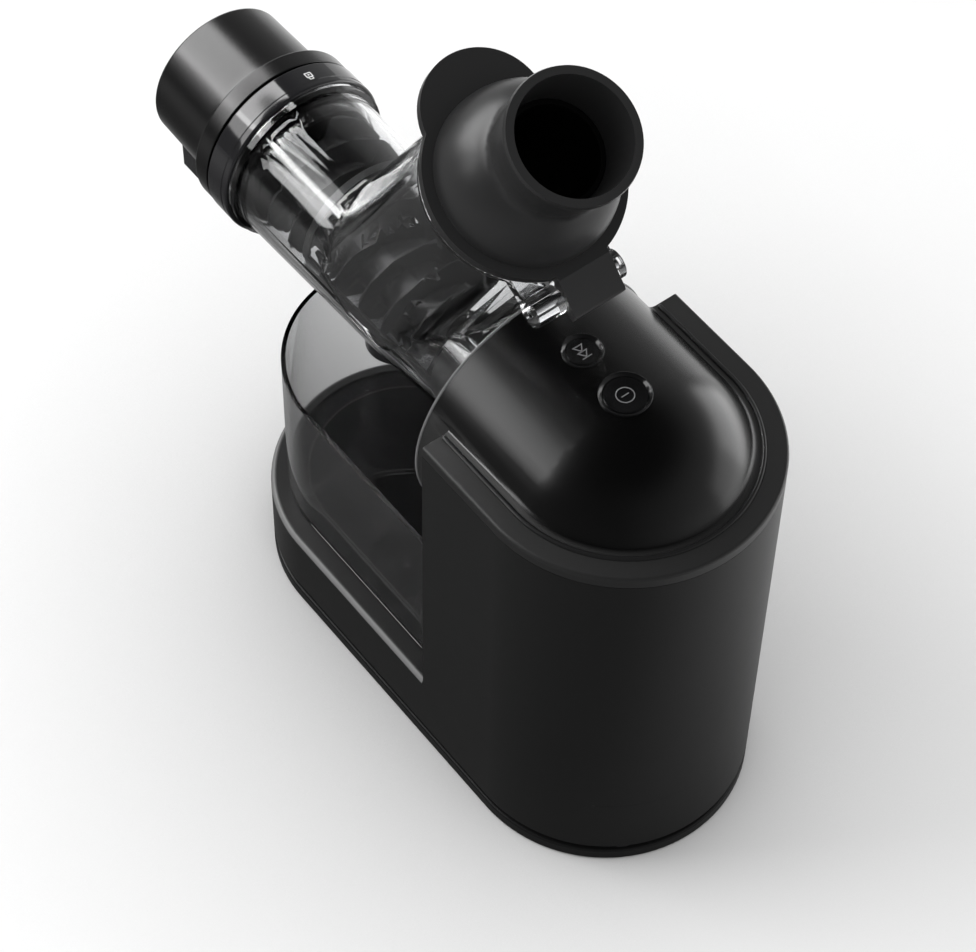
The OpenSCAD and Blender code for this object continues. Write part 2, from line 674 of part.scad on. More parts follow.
bearing_front_w = 9;
bearing_front_r = shaft_r + 8.5;
bearing_rear_w = 7;
bearing_rear_r = 11;
journal_r = 4;
hex_r = shaft_r - 0.1;
hex_end = face_y - 18;                    // front end of the hexagonal nose
shaft_end = cover_y + cover_t + bearing_rear_w;

module output_shaft() color("#b9bbbf") {
    rod(shaft_r, socket_end, cover_y - 2);
    rod(journal_r, cover_y - 2 - eps, shaft_end);
    translate([0, socket_end + eps, axis_h]) rotate([90, 0, 0])
        cylinder(r = hex_r, h = socket_end - hex_end, $fn = 6);
}

module gear_pins() color("#c4c6c9") {
    rod(pin_r, box_y + 1, cover_y + cover_t, second_c.x, second_c.y);
    rod(pin_r, box_y + 1, cover_y + cover_t, first_c.x, first_c.y);
}

module output_bearings() color("#aeb0b4") {
    tube(bearing_front_r, shaft_r + run, box_y - bearing_front_w + box_wall, box_y + box_wall - 0.1);
    tube(bearing_rear_r, journal_r + run, cover_y + 0.1, cover_y + bearing_rear_w);
}

module link(a, b, half) let (d = b - a, len = norm(d), dir = atan2(d.y, d.x))
    translate(a) rotate(dir) translate([0, -half]) square([len, 2 * half]);
module box_plan(grow) {
    for (c = chambers) translate(c[0]) circle(c[1] + grow);
    for (i = [0:2]) link(chambers[i][0], chambers[i + 1][0], chambers[i + 1][1] * 0.8 + grow);
}
module box_slice(y0, y1, grow) translate([0, y1, 0]) rotate([90, 0, 0]) linear_extrude(y1 - y0) box_plan(grow);

// Ears for the cover's screws stand just outside the chambers
function beside(i, a, out) = chambers[i][0] + (chambers[i][1] + box_wall + out) * [cos(a), sin(a)];
box_ears = [beside(0, -36, 2.3), beside(1, 149, 2.3), beside(2, -11, 3.6), beside(1, -123, 0.3)];
ear_r = 5;
module box_ear_plan() for (p = box_ears) {
    translate(p) circle(ear_r);
    link(p, [0, p.y], 3);
}

module gearbox_case() color("#3d3f42") difference() {
    union() {
        box_slice(box_y, cover_y, box_wall);
        // mounting flange
        translate([-mount_x - 6, box_y, mount_low - 6])
            cube([2 * mount_x + 12, box_wall, mount_high - mount_low + 12]);
        // bearing boss towards the barrel
        rod(bearing_front_r + 3, box_y - bearing_front_w + box_wall - 1, box_y + eps);
        translate([0, cover_y, 0]) rotate([90, 0, 0]) linear_extrude(cover_y - box_y) box_ear_plan();
    }
    box_slice(box_y + box_wall, cover_y + 1, 0);
    rod(bearing_front_r + fit, box_y - bearing_front_w + box_wall, box_y + box_wall + 1);
    rod(shaft_r + 1.5, box_y - 20, box_y + box_wall);
    for (p = [first_c, second_c]) rod(pin_r + fit, box_y + 1, box_y + 20, p.x, p.y);
    for (p = mounts_xz) rod(screw_r + 0.3, box_y - 1, box_y + box_wall + 1, p.x, p.y);
    for (p = box_ears) rod(pilot_r, cover_y - 12, cover_y + 1, p.x, p.y);
}

motor_screw_r = 16;
motor_screws_xz = [for (a = [-22, 202]) motor_c + motor_screw_r * [cos(a), sin(a)]];
motor_boss_r = 8;
module gearbox_cover() color("#46484c") difference() {
    union() {
        box_slice(cover_y, cover_y + cover_t, box_wall);
        translate([0, cover_y + cover_t, 0]) rotate([90, 0, 0]) linear_extrude(cover_t) box_ear_plan();
        rod(bearing_rear_r + 3, cover_y, shaft_end + 1);
        rod(motor_screw_r + 5, cover_y, cover_y + cover_t, motor_c.x, motor_c.y);
    }
    rod(bearing_rear_r + fit, cover_y - 1, shaft_end);
    rod(journal_r + 1, cover_y, shaft_end + 2);
    for (p = [first_c, second_c]) rod(pin_r + fit, cover_y - 1, cover_y + cover_t + 1, p.x, p.y);
    for (p = box_ears) rod(screw_r + 0.3, cover_y - 1, cover_y + cover_t + 1, p.x, p.y);
    rod(motor_boss_r + fit, cover_y - 1, cover_y + cover_t + 1, motor_c.x, motor_c.y);
    for (p = motor_screws_xz) rod(screw_r + 0.3, cover_y - 1, cover_y + cover_t + 1, p.x, p.y);
}

module gearbox_screws() color("#9a9a9c") for (p = box_ears)
    translate([p.x, cover_y + cover_t, p.y]) rotate([-90, 0, 0]) screw(12);

module mounting_screws() color("#9a9a9c") for (p = mounts_xz)
    translate([p.x, box_y + box_wall, p.y]) rotate([-90, 0, 0]) screw(12);

// ---- motor ----

bell_t = 3;
bell_y = cover_y + cover_t;               // front face of the motor
can_y = bell_y + bell_t;
can_end = can_y + motor_len;
motor_end = can_end + bell_t;
bush_r = 5;
core_y = can_y + 5;
core_len = motor_len - 18;
core_r = motor_r - 12;
comm_r = 8;
fan_y = motor_end + 2.2;
fan_t = 6;

module motor_can() color("#77797d") tube(motor_r, motor_r - 2, can_y, can_end, motor_c.x, motor_c.y);

module motor_front_bell() color("#6b6d71") difference() {
    union() {
        rod(motor_r, bell_y, can_y, motor_c.x, motor_c.y);
        rod(motor_boss_r, cover_y, can_y, motor_c.x, motor_c.y);
    }
    rod(bush_r + fit, cover_y - 1, can_y + 1, motor_c.x, motor_c.y);
    for (p = motor_screws_xz) rod(pilot_r, bell_y - 1, can_y + 1, p.x, p.y);
}

module motor_rear_bell() color("#6b6d71") difference() {
    rod(motor_r, can_end, motor_end, motor_c.x, motor_c.y);
    rod(bush_r + fit, can_end - 1, motor_end + 1, motor_c.x, motor_c.y);
    for (a = [45:90:315]) rod(5, can_end - 1, motor_end + 1,
        motor_c.x + motor_r * 0.62 * cos(a), motor_c.y + motor_r * 0.62 * sin(a));
}

module motor_bushes() color("#b08d57") {
    tube(bush_r, rotor_shaft_r + run, cover_y + 0.5, can_y, motor_c.x, motor_c.y);
    tube(bush_r, rotor_shaft_r + run, can_end, motor_end, motor_c.x, motor_c.y);
}

module motor_magnets() color("#4b4d50") for (a = [0, 180]) intersection() {
    tube(motor_r - 2 - fit, core_r + 1, core_y - 2, core_y + core_len + 2, motor_c.x, motor_c.y);
    translate([motor_c.x, can_end, motor_c.y]) rotate([90, 0, 0]) rotate(a) linear_extrude(motor_len)
        polygon([[0, 0], [60, -75], [60, 75]]);
}

module motor_screws() color("#9a9a9c") for (p = motor_screws_xz)
    translate([p.x, cover_y, p.y]) rotate([90, 0, 0]) screw(cover_t + bell_t - 0.5);

module motor_brushes() color("#33302d") for (s = [-1, 1])
    translate([motor_c.x + s * (comm_r + 0.4) - (s < 0 ? core_r - comm_r : 0), can_end - 8, motor_c.y - 3])
        cube([core_r - comm_r, 5, 6]);

module rotor_core() color("#8b5a2b") difference() {
    rod(core_r, core_y, core_y + core_len, motor_c.x, motor_c.y);
    rod(rotor_shaft_r + 0.02, can_y, can_end, motor_c.x, motor_c.y);
    for (a = [0:30:330]) rod(2, core_y - 1, core_y + core_len + 1,
        motor_c.x + (core_r - 3) * cos(a), motor_c.y + (core_r - 3) * sin(a));
}

module commutator() color("#c07a3e")
    tube(comm_r, rotor_shaft_r + 0.02, core_y + core_len + 1, can_end - 1, motor_c.x, motor_c.y);

module motor_shaft() color("#c4c6c9")
    rod(rotor_shaft_r, first_gear_y - 1.5, fan_y + fan_t + 0.5, motor_c.x, motor_c.y);

module cooling_fan() color("#2c2d30") translate([motor_c.x, fan_y + fan_t, motor_c.y]) rotate([90, 0, 0])
    difference() {
        union() {
            cylinder(r = 7, h = fan_t);
            cylinder(r = fan_r, h = 1);
            for (a = [0:40:320]) rotate(a) translate([6, -0.7, 0]) cube([fan_r - 7, 1.4, fan_t]);
        }
        translate([0, 0, -1]) cylinder(r = rotor_shaft_r + 0.02, h = fan_t + 2);
    }

// ---- drum ----

flange_drop = 7;                          // from the lid's top to the chute's flange
flange_t = 4;
flange_r = chute_r + 3;
mouth_front = cap_y + 3;                  // front rim of the drum, inside the cap's ring
lug_half = 15;
lug_angles = [30, 150, 270];
ear_in = tab_half + 0.6;
ear_w_left = 14;
ear_w_right = 4.4;
hinge_ear_r = 6.8;
knuckle_r = 5.2;
hinge_r = 2;
spout_y = face_y - spout_ahead;
spout_low = deck_h + jug_h + spout_clear;
spout_h = axis_h - throat_r - spout_low - 7.5;
nozzle_r = spout_r - 2.8;
nozzle_wall = 2.2;

// Revolved body of the drum, smaller by the amount less
module drum_body(less) {
    rod(neck_r - less, neck_y, neck_end - (less > 0 ? 4 : 0));
    rod(throat_r - less, throat_y, neck_y + eps, r1 = neck_r - less);
    rod(mouth_r - less, collar_y, throat_y + eps, r1 = throat_r - less);
    rod(mouth_r - less, mouth_front - (less > 0 ? 1 : 0), collar_y + eps);
}

// Chute: a cone from the flange down to the drum's axis, between two flat sides that close in on the drum
module chute_body(less, top) intersection() {
    at_lid(chute_tilt) translate([0, 0, -chute_len])
        cylinder(r1 = chute_foot_r - less, r2 = chute_r - less, h = chute_len);
    at_lid() translate([-100, -100, top - 300]) cube([200, 200, 300]);
    translate([0, rear_y, axis_h]) rotate([90, 0, 0]) linear_extrude(2 * rear_y)
        polygon([[less - chute_side, 0], [chute_side - less, 0],
            [chute_r + 1 - less, chute_len], [less - chute_r - 1, chute_len]]);
}

module drum() color("#cfd3d6", 0.35) difference() {
    union() {
        drum_body(0);
        rod(mouth_r + 2.6, collar_y + fit, collar_y + 4);
        chute_body(0, -flange_drop);
        at_lid() translate([0, 0, -flange_drop - flange_t]) cylinder(r = flange_r, h = flange_t);
        for (a = lug_angles) intersection() {
            rod(mouth_r + 1.8, mouth_front, mouth_front + 2.5);
            wedge(a, lug_half, mouth_front, mouth_front + 2.5);
        }
        for (a = key_angles) translate([0, 0, axis_h]) rotate([0, 90 - a, 0])
            translate([-key_w / 2, neck_end - 14, neck_r - 2]) cube([key_w, 14, key_h + 1.6]);
        // ears of the hinge
        for (e = [[ear_in, ear_w_left], [-ear_in - ear_w_right, ear_w_right]]) at_lid() translate([e.x, 0, 0]) {
            translate([0, pin_back, -pin_drop]) rotate([0, 90, 0]) cylinder(r = hinge_ear_r, h = e.y);
            translate([0, chute_r - 12, -pin_drop - 3.5]) cube([e.y, pin_back - chute_r + 12, 5.5]);
        }
        translate([0, spout_y, spout_low + 6]) cylinder(r = nozzle_r, h = axis_h - throat_r - spout_low);
        // ribs along the neck
        for (a = [40, 140, 220, 320]) translate([0, 0, axis_h]) rotate([0, 90 - a, 0])
            translate([-1, neck_y + 1, neck_r - 1]) cube([2, neck_len - 4, 2]);
    }
    drum_body(drum_wall);
    chute_body(drum_wall, 1);
    at_lid() translate([-ear_in - ear_w_right - 1, pin_back, -pin_drop]) rotate([0, 90, 0])
        cylinder(r = hinge_r + fit, h = 2 * ear_in + ear_w_left + ear_w_right + 2);
    at_lid() translate([0.4 - ear_in, pin_back, -pin_drop]) rotate([0, 90, 0])
        cylinder(r = knuckle_r + 0.9, h = 2 * ear_in - 0.8);
    rod(drive_r + run, neck_end - 6, neck_end + 1);
    translate([0, spout_y, spout_low]) cylinder(r = nozzle_r - nozzle_wall, h = axis_h - spout_low);
}

module drum_collar() color("#0c0c0d") tube(collar_r, mouth_r + fit, collar_front, collar_y);

drive_r = 12;
module drum_seal() color("#4a4a4c") tube(drive_r + 5, drive_r + soft, neck_end - 8.5, neck_end - 4.35);

module juice_spout() color("#3b3c3e") translate([0, spout_y, 0]) difference() {
    translate([0, 0, spout_low]) cylinder(r = spout_r, h = spout_h);
    translate([0, 0, spout_low + 5.7]) cylinder(r = nozzle_r + fit, h = 40);
    translate([0, 0, spout_low - 1]) cylinder(r = nozzle_r - nozzle_wall, h = 40);
}

module hinge_pin() color("#c9cbce") at_lid()
    translate([-ear_in - ear_w_right + 1, pin_back, -pin_drop]) rotate([0, 90, 0])
        cylinder(r = hinge_r, h = 2 * ear_in + ear_w_left + ear_w_right - 2);

// ---- sieve ----

sieve_front = throat_y - 49;
sieve_rear = neck_y + 16;
sieve_neck_r = neck_r - drum_wall - 0.5;
sieve_front_r = throat_r - drum_wall - 1;
screen_front = sieve_front + 7;
screen_rear = neck_y - 4;

module sieve_cone(less, y0, y1) {
    intersection() {
        union() {
            rod(sieve_front_r - less, sieve_front, neck_y, r1 = sieve_neck_r - less);
            rod(sieve_neck_r - less, neck_y - eps, sieve_rear);
        }
        translate([-100, y0, 0]) cube([200, y1 - y0, 2 * axis_h]);
    }
}

module sieve_frame() color("#4d4f52") difference() {
    sieve_cone(0, sieve_front, sieve_rear);
    sieve_cone(sieve_wall, sieve_front - 1, sieve_rear + 1);
    // open above, under the chute
    translate([-100, screen_front - 3, axis_h + 2]) cube([200, screen_rear - screen_front + 6, 100]);
    // window of the screen
    wedge(270, 58, screen_front, screen_rear);
}

module sieve_screen() color("#b4b7ba") difference() {
    intersection() {
        difference() {
            sieve_cone(0.4, screen_front + 0.2, screen_rear - 0.2);
            sieve_cone(sieve_wall - 0.4, screen_front, screen_rear);
        }
        wedge(270, 57.6, screen_front, screen_rear);
    }
    for (y = [screen_front + 4 : 5 : screen_rear - 5]) intersection() {
        translate([-100, y, axis_h - 60]) cube([200, sieve_slot, 60]);
        union() for (a = [226, 256, 284, 314]) wedge(a, 10, screen_front, screen_rear);
    }
}

// ---- auger ----

flight_front = collar_y + 13;
flight_step = sieve_front - 2;            // where the wider flights end
core_rear = neck_y + 12;
tip_r = 9;
sleeve_end = collar_y + 11;               // rear end of the cap's inner sleeve
drive_front = hex_end - 3;

// Two flights that wind about the drum's axis
module flights(r, y0, y1, phase) translate([0, y1, axis_h]) rotate([90, 0, 0])
    linear_extrude(y1 - y0, twist = 360 * (y1 - y0) / flight_pitch, slices = ceil((y1 - y0) / 3), $fn = 12)
        rotate(phase) square([2 * r, flight_t], center = true);

module auger() color("#5b5d60") difference() {
    union() {
        rod(core_front_r, flight_front, core_rear, r1 = core_rear_r);
        rod(tip_r, cap_y - 18, flight_front + eps);
        flights(flight_r, flight_step, core_rear - 2, 0);
        flights(press_r, flight_front, flight_step + eps, -360 * (core_rear - 2 - flight_step) / flight_pitch);
    }
    rod(drive_r + fit, drive_front, core_rear + 1);
}

module auger_drive() color("#2e2f31") difference() {
    rod(drive_r, drive_front + fit, neck_end + 0.6);
    translate([0, neck_end + 1, axis_h]) rotate([90, 0, 0])
        cylinder(r = hex_r + 0.3, h = neck_end + 1 - hex_end + 1, $fn = 6);
}

// ---- end cap ----

ring_r = collar_r - 0.4;
ring_wall = ring_r - mouth_r - 2.1;
sleeve_r = mouth_r - drum_wall - 3.2;
sleeve_in = sleeve_r - 2.5;
chamber_r = cap_r - 2.5;
boss_in = tip_r + 3;
boss_out = boss_in + 3;
cap_edge = 2;
pulp_y = end_y + pulp_in;
pulp_wall = 2.5;

module end_cap() color("#232324") difference() {
    union() {
        difference() {
            union() {
                // skirt, with a rounded edge at its end face
                translate([0, cap_y, axis_h]) rotate([90, 0, 0]) rotate_extrude()
                    polygon(concat([[0, 0], [cap_root_r + 4, 0], [cap_root_r, 4]],
                        arc(cap_r - cap_edge, cap_len - cap_edge, cap_edge, 0, 90), [[0, cap_len]]));
                rod(ring_r, cap_y - 1, ring_y);
                rod(ring_r, cap_y - 2, cap_y - 1 + eps, r1 = ring_r);
            }
            rod(chamber_r, end_y + 3, cap_y - 2.5);
            rod(ring_r - ring_wall, cap_y + 0.5, ring_y + 1);
            rod(sleeve_in, cap_y - 3, ring_y);
        }
        tube(sleeve_r, sleeve_in, cap_y, sleeve_end);
        // boss of the front bush
        tube(boss_out, boss_in + fit, end_y + 2, cap_y - 4);
        // bayonet lugs behind those of the drum
        for (a = lug_angles) intersection() {
            tube(ring_r - ring_wall + 0.5, mouth_r + 0.4, ring_y - 2.4, ring_y);
            wedge(a, lug_half, ring_y - 2.4, ring_y);
        }
    }
    // way out for the pulp
    translate([-pulp_half + pulp_wall, pulp_y + pulp_wall, axis_h - 80])
        cube([2 * (pulp_half - pulp_wall), pulp_len - 2 * pulp_wall, 80 - boss_out - 4]);
}

module pulp_spout() color("#232324") difference() {
    translate([-pulp_half, pulp_y, axis_h - pulp_drop]) cube([2 * pulp_half, pulp_len, pulp_drop - 20]);
    translate([-pulp_half + pulp_wall, pulp_y + pulp_wall, 0])
        cube([2 * (pulp_half - pulp_wall), pulp_len - 2 * pulp_wall, axis_h]);
    rod(cap_root_r + 0.1, end_y - 1, cap_y, r1 = cap_root_r + 0.1);
}

module cap_seal() color("#58595b") tube(mouth_r - drum_wall - soft, sleeve_r + soft, cap_y + 5, cap_y + 10);

module front_bush() color("#d9d6cc") tube(boss_in, tip_r + run, cap_y - 18, cap_y - 4);

// ---- feed lid ----

spigot_r = chute_r - drum_wall - 0.8;
spigot_drop = lid_t + 6;
gasket_in = spigot_r + 0.6;
gasket_out = flange_r - 1.5;
lid_wall = 2.6;
dome_end = 45;                            // angle of the dome's arc where the neck starts
shoulder_h = 34;                          // height of the shoulder inside the funnel
shoulder_t = 4;
shoulder_r = feed_r + 2.5;
waist_r = dome_r * cos(dome_end) - 1.8;
waist_h = dome_r * sin(dome_end) + 2.2;
mouth_in = funnel_r - 4.2;

// Outer half section of the dome and the funnel, on the funnel's own axis
funnel_section = concat(arc(0, 0, dome_r, 0, dome_end, 8),
    [[waist_r, waist_h], [waist_r + 0.2, waist_h + 10], [funnel_r - 0.5, funnel_h - 3.5],
     [funnel_r, funnel_h - 2], [funnel_r - 0.5, funnel_h]]);

module lid_plan() {
    circle(lid_r);
    translate([0, -lobe_out]) circle(lobe_r);
    translate([-tab_half, 0]) square([2 * tab_half, lid_r]);
}

// The hinge tab slopes down over the pin
tab_back = pin_back + 12;
tab_t = 4.5;
tab_outline = [
    [lid_r - 8, 0], [lid_r - 2, 0], [lid_r + 2, -0.8], [tab_back - 1, 0.3 - tab_drop], [tab_back, -tab_drop - 0.5],
    [tab_back, -tab_drop - tab_t], [pin_back, -tab_drop - tab_t],
    [lid_r + 0.4, -lid_t - 2], [lid_r - 1, -lid_t], [lid_r - 8, -lid_t]
];

module feed_lid() color("#1a1a1b") difference() {
    union() {
        at_lid() {
            translate([0, 0, -lid_t]) linear_extrude(lid_t) lid_plan();
            translate([0, 0, -spigot_drop]) cylinder(r = spigot_r, h = spigot_drop - lid_t + eps);
            // knuckle around the hinge pin
            translate([-tab_half, pin_back, -pin_drop]) rotate([0, 90, 0])
                cylinder(r = knuckle_r, h = 2 * tab_half);
            translate([-tab_half, 0, 0]) rotate([90, 0, 90]) linear_extrude(2 * tab_half) polygon(tab_outline);
        }
        intersection() {
            at_lid(funnel_tilt) translate([0, 0, -4]) rotate_extrude() polygon(concat([[0, 0], [dome_r, 0]],
                [for (p = funnel_section) [p.x, p.y + 4]], [[0, funnel_h + 4]]));
            at_lid() translate([-100, -100, -lid_t + 1]) cube(200);
        }
    }
    // bore of the funnel and the hollow under the dome
    at_lid(funnel_tilt) rotate_extrude() polygon([
        [0, shoulder_h - shoulder_t], [shoulder_r, shoulder_h - shoulder_t], [shoulder_r, shoulder_h],
        [mouth_in, funnel_h - 1], [mouth_in, funnel_h + 1], [0, funnel_h + 1]]);
    at_lid(funnel_tilt) cylinder(r = feed_r + 0.6, h = shoulder_h);
    at_lid() translate([0, 0, -spigot_drop - 1]) cylinder(r = spigot_r - 2.2, h = spigot_drop + 2);
    at_lid(funnel_tilt) rotate_extrude()
        polygon(concat([[0, 0]], arc(0, 0, dome_r - lid_wall, 0, 50, 7), [[0, dome_r * sin(50)]]));
    at_lid() translate([-tab_half - 1, pin_back, -pin_drop]) rotate([0, 90, 0])
        cylinder(r = hinge_r + run, h = 2 * tab_half + 2);
    // groove of the gasket
    at_lid() difference() {
        translate([0, 0, -lid_t - 0.01]) cylinder(r = gasket_out + 0.3, h = 1.3);
        translate([0, 0, -lid_t - 1]) cylinder(r = gasket_in - 0.3, h = 4);
    }
}

module feed_ring() color("#161617") at_lid(funnel_tilt) difference() {
    translate([0, 0, shoulder_h - shoulder_t]) cylinder(r = shoulder_r - fit, h = shoulder_t - 0.6);
    translate([0, 0, shoulder_h - shoulder_t - 1]) cylinder(r = feed_r, h = shoulder_t + 2);
}

module lid_gasket() color("#6a6b6d") at_lid() difference() {
    translate([0, 0, -flange_drop + soft]) cylinder(r = gasket_out - 0.1, h = flange_drop - soft - lid_t + 0.9);
    translate([0, 0, -flange_drop - 1]) cylinder(r = gasket_in + 0.1, h = 10);
}

// ---- jug ----

jug_r = jug_w / 2;
jug_front = base_front_y - jug_set_in;
jug_back = front_y - 2;
jug_floor = 3;
jug_foot = 1.2;

module jug_plan(less) {
    translate([0, jug_front]) circle(jug_r - less);
    translate([less - jug_r, jug_front]) square([2 * (jug_r - less), jug_back - jug_corner - jug_front]);
    for (s = [-1, 1]) translate([s * (jug_r - jug_corner), jug_back - jug_corner]) circle(jug_corner - less);
    translate([jug_corner - jug_r, jug_back - 2 * jug_corner])
        square([2 * (jug_r - jug_corner), 2 * jug_corner - less]);
}

module juice_jug() color("#d5d9dc", 0.35) translate([0, 0, deck_h + 0.02]) difference() {
    union() {
        linear_extrude(jug_foot + eps) jug_plan(jug_foot);
        translate([0, 0, jug_foot]) linear_extrude(jug_h - jug_foot) jug_plan(0);
    }
    translate([0, 0, jug_floor]) linear_extrude(jug_h) jug_plan(jug_wall);
}

bottom_plate();
rubber_feet();
outer_housing();
top_cover();
housing_screws();
cord_bush();
power_bezel();
power_button();
reverse_bezel();
reverse_button();
switch_board();
tact_switches();
control_board();
board_capacitor();
board_relay();
board_screws();
drum_socket();
socket_screws();
shaft_seal();
interlock_switch();
gearbox_case();
gearbox_cover();
gearbox_screws();
mounting_screws();
gear_pins();
output_bearings();
motor_pinion();
first_gear();
second_gear();
output_gear();
output_shaft();
motor_can();
motor_front_bell();
motor_rear_bell();
motor_bushes();
motor_magnets();
motor_screws();
motor_brushes();
rotor_core();
commutator();
motor_shaft();
cooling_fan();
drum();
drum_collar();
drum_seal();
juice_spout();
hinge_pin();
sieve_frame();
sieve_screen();
auger();
auger_drive();
end_cap();
pulp_spout();
cap_seal();
front_bush();
feed_lid();
feed_ring();
lid_gasket();
juice_jug();
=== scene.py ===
import json
import math
import bpy
import bmesh
from mathutils import Matrix, Vector


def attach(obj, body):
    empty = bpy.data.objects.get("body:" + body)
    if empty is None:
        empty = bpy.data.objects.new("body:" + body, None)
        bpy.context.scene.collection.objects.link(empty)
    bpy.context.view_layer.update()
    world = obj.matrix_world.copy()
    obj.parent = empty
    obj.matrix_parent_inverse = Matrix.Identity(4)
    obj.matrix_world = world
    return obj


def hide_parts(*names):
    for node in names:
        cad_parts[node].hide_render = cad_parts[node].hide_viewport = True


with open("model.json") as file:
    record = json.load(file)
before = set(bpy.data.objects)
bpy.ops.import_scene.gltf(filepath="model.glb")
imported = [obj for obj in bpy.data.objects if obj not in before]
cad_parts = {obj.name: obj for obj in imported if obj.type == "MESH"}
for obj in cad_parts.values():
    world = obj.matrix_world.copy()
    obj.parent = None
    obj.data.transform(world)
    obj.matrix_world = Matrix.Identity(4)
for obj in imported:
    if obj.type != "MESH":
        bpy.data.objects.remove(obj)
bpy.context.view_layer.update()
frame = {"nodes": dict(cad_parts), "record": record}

mm = 0.001
barrelAxis = 210.5  # height of the drum's axis, mm
lidPlace = (46.4706, 351.839)  # Y and Z of the middle of the lid's top, mm
scene = bpy.context.scene
slotOf = {part["node"]: part["material_slot"] for part in frame["record"]["subparts"]}
bodyOf = {node: body for body, nodes in frame["record"]["behaviour"]["bodies"].items() for node in nodes}


def newGroup(name, inputs, outputs):
    tree = bpy.data.node_groups.new(name, "ShaderNodeTree")
    for label, kind, value in inputs:
        socket = tree.interface.new_socket(label, in_out="INPUT", socket_type=kind)
        if value is not None:
            socket.default_value = value
    for label, kind in outputs:
        tree.interface.new_socket(label, in_out="OUTPUT", socket_type=kind)
    return tree, tree.nodes.new("NodeGroupInput"), tree.nodes.new("NodeGroupOutput")


def mathNode(tree, operation, a, b=None, c=None):
    node = tree.nodes.new("ShaderNodeMath")
    node.operation = operation
    for socket, value in zip(node.inputs, (a, b, c)):
        if value is None:
            continue
        if isinstance(value, (int, float)):
            socket.default_value = value
        else:
            tree.links.new(value, socket)
    return node.outputs[0]


def mathIn(tree):
    # mathNode tied to one tree
    return lambda operation, *values: mathNode(tree, operation, *values)


def flatDistance(tree, x, y):
    # how far x and y lie from the origin
    calc = mathIn(tree)
    return calc("SQRT", calc("ADD", calc("MULTIPLY", x, x), calc("MULTIPLY", y, y)))


def centred(tree, value):
    # a noise from 0 to 1 moved to lie about zero
    return mathNode(tree, "SUBTRACT", value, 0.5)


def shadeNode(tree, color, tone):
    # the colour made lighter or darker by tone
    node = tree.nodes.new("ShaderNodeVectorMath")
    node.operation = "SCALE"
    tree.links.new(color, node.inputs[0])
    tree.links.new(tone, node.inputs["Scale"])
    return node.outputs[0]


def rampNode(tree, value, source, target=(0.0, 1.0), smooth=False):
    # carries the span source over to the span target
    node = tree.nodes.new("ShaderNodeMapRange")
    if smooth:
        node.interpolation_type = "SMOOTHSTEP"
    node.inputs["From Min"].default_value, node.inputs["From Max"].default_value = source
    node.inputs["To Min"].default_value, node.inputs["To Max"].default_value = target
    tree.links.new(value, node.inputs["Value"])
    return node.outputs[0]


def axesOf(tree, coordinates="Object"):
    # X, Y and Z of the tree's coordinates
    found = [node for node in tree.nodes if node.type == "TEX_COORD"]
    place = found[0] if found else tree.nodes.new("ShaderNodeTexCoord")
    split = tree.nodes.new("ShaderNodeSeparateXYZ")
    tree.links.new(place.outputs[coordinates], split.inputs[0])
    return split.outputs


def noiseNode(tree, vector, scale, detail=3, rough=0.55):
    node = tree.nodes.new("ShaderNodeTexNoise")
    node.inputs["Scale"].default_value = scale
    node.inputs["Detail"].default_value = detail
    node.inputs["Roughness"].default_value = rough
    tree.links.new(vector, node.inputs["Vector"])
    return node.outputs["Fac"]


surfaceOutputs = [("Color", "NodeSocketColor"), ("Roughness", "NodeSocketFloat"),
                  ("Height", "NodeSocketFloat")]
grainNoise = dict(fineDetail=2, broad=(14, 4), marks=(60, 6, 0.7))  # scale, detail and roughness of each noise
brushNoise = dict(lines=(1.0, 4, 0.6), tone=0.25)


def buildGrain():
    # moulded grain: a fine texture, broad tone changes and faint handling marks
    tree, start, end = newGroup("mouldedGrain", [
        ("Vector", "NodeSocketVector", None), ("Grain Scale", "NodeSocketFloat", 2500.0),
        ("Tone Amount", "NodeSocketFloat", 0.08), ("Rough Amount", "NodeSocketFloat", 0.06),
        ("Roughness", "NodeSocketFloat", 0.4), ("Color", "NodeSocketColor", (0.02, 0.02, 0.02, 1))],
        surfaceOutputs)
    vector = start.outputs["Vector"]
    fine = tree.nodes.new("ShaderNodeTexNoise")
    fine.inputs["Detail"].default_value = grainNoise["fineDetail"]
    tree.links.new(vector, fine.inputs["Vector"])
    tree.links.new(start.outputs["Grain Scale"], fine.inputs["Scale"])
    broad = centred(tree, noiseNode(tree, vector, *grainNoise["broad"]))
    marks = centred(tree, noiseNode(tree, vector, *grainNoise["marks"]))
    tone = mathNode(tree, "MULTIPLY_ADD", broad, start.outputs["Tone Amount"], 1.0)
    mixed = mathNode(tree, "ADD", broad, marks)
    rough = mathNode(tree, "MULTIPLY_ADD", mixed, start.outputs["Rough Amount"], start.outputs["Roughness"])
    tree.links.new(shadeNode(tree, start.outputs["Color"], tone), end.inputs["Color"])
    tree.links.new(rough, end.inputs["Roughness"])
    tree.links.new(fine.outputs["Fac"], end.inputs["Height"])
    return tree


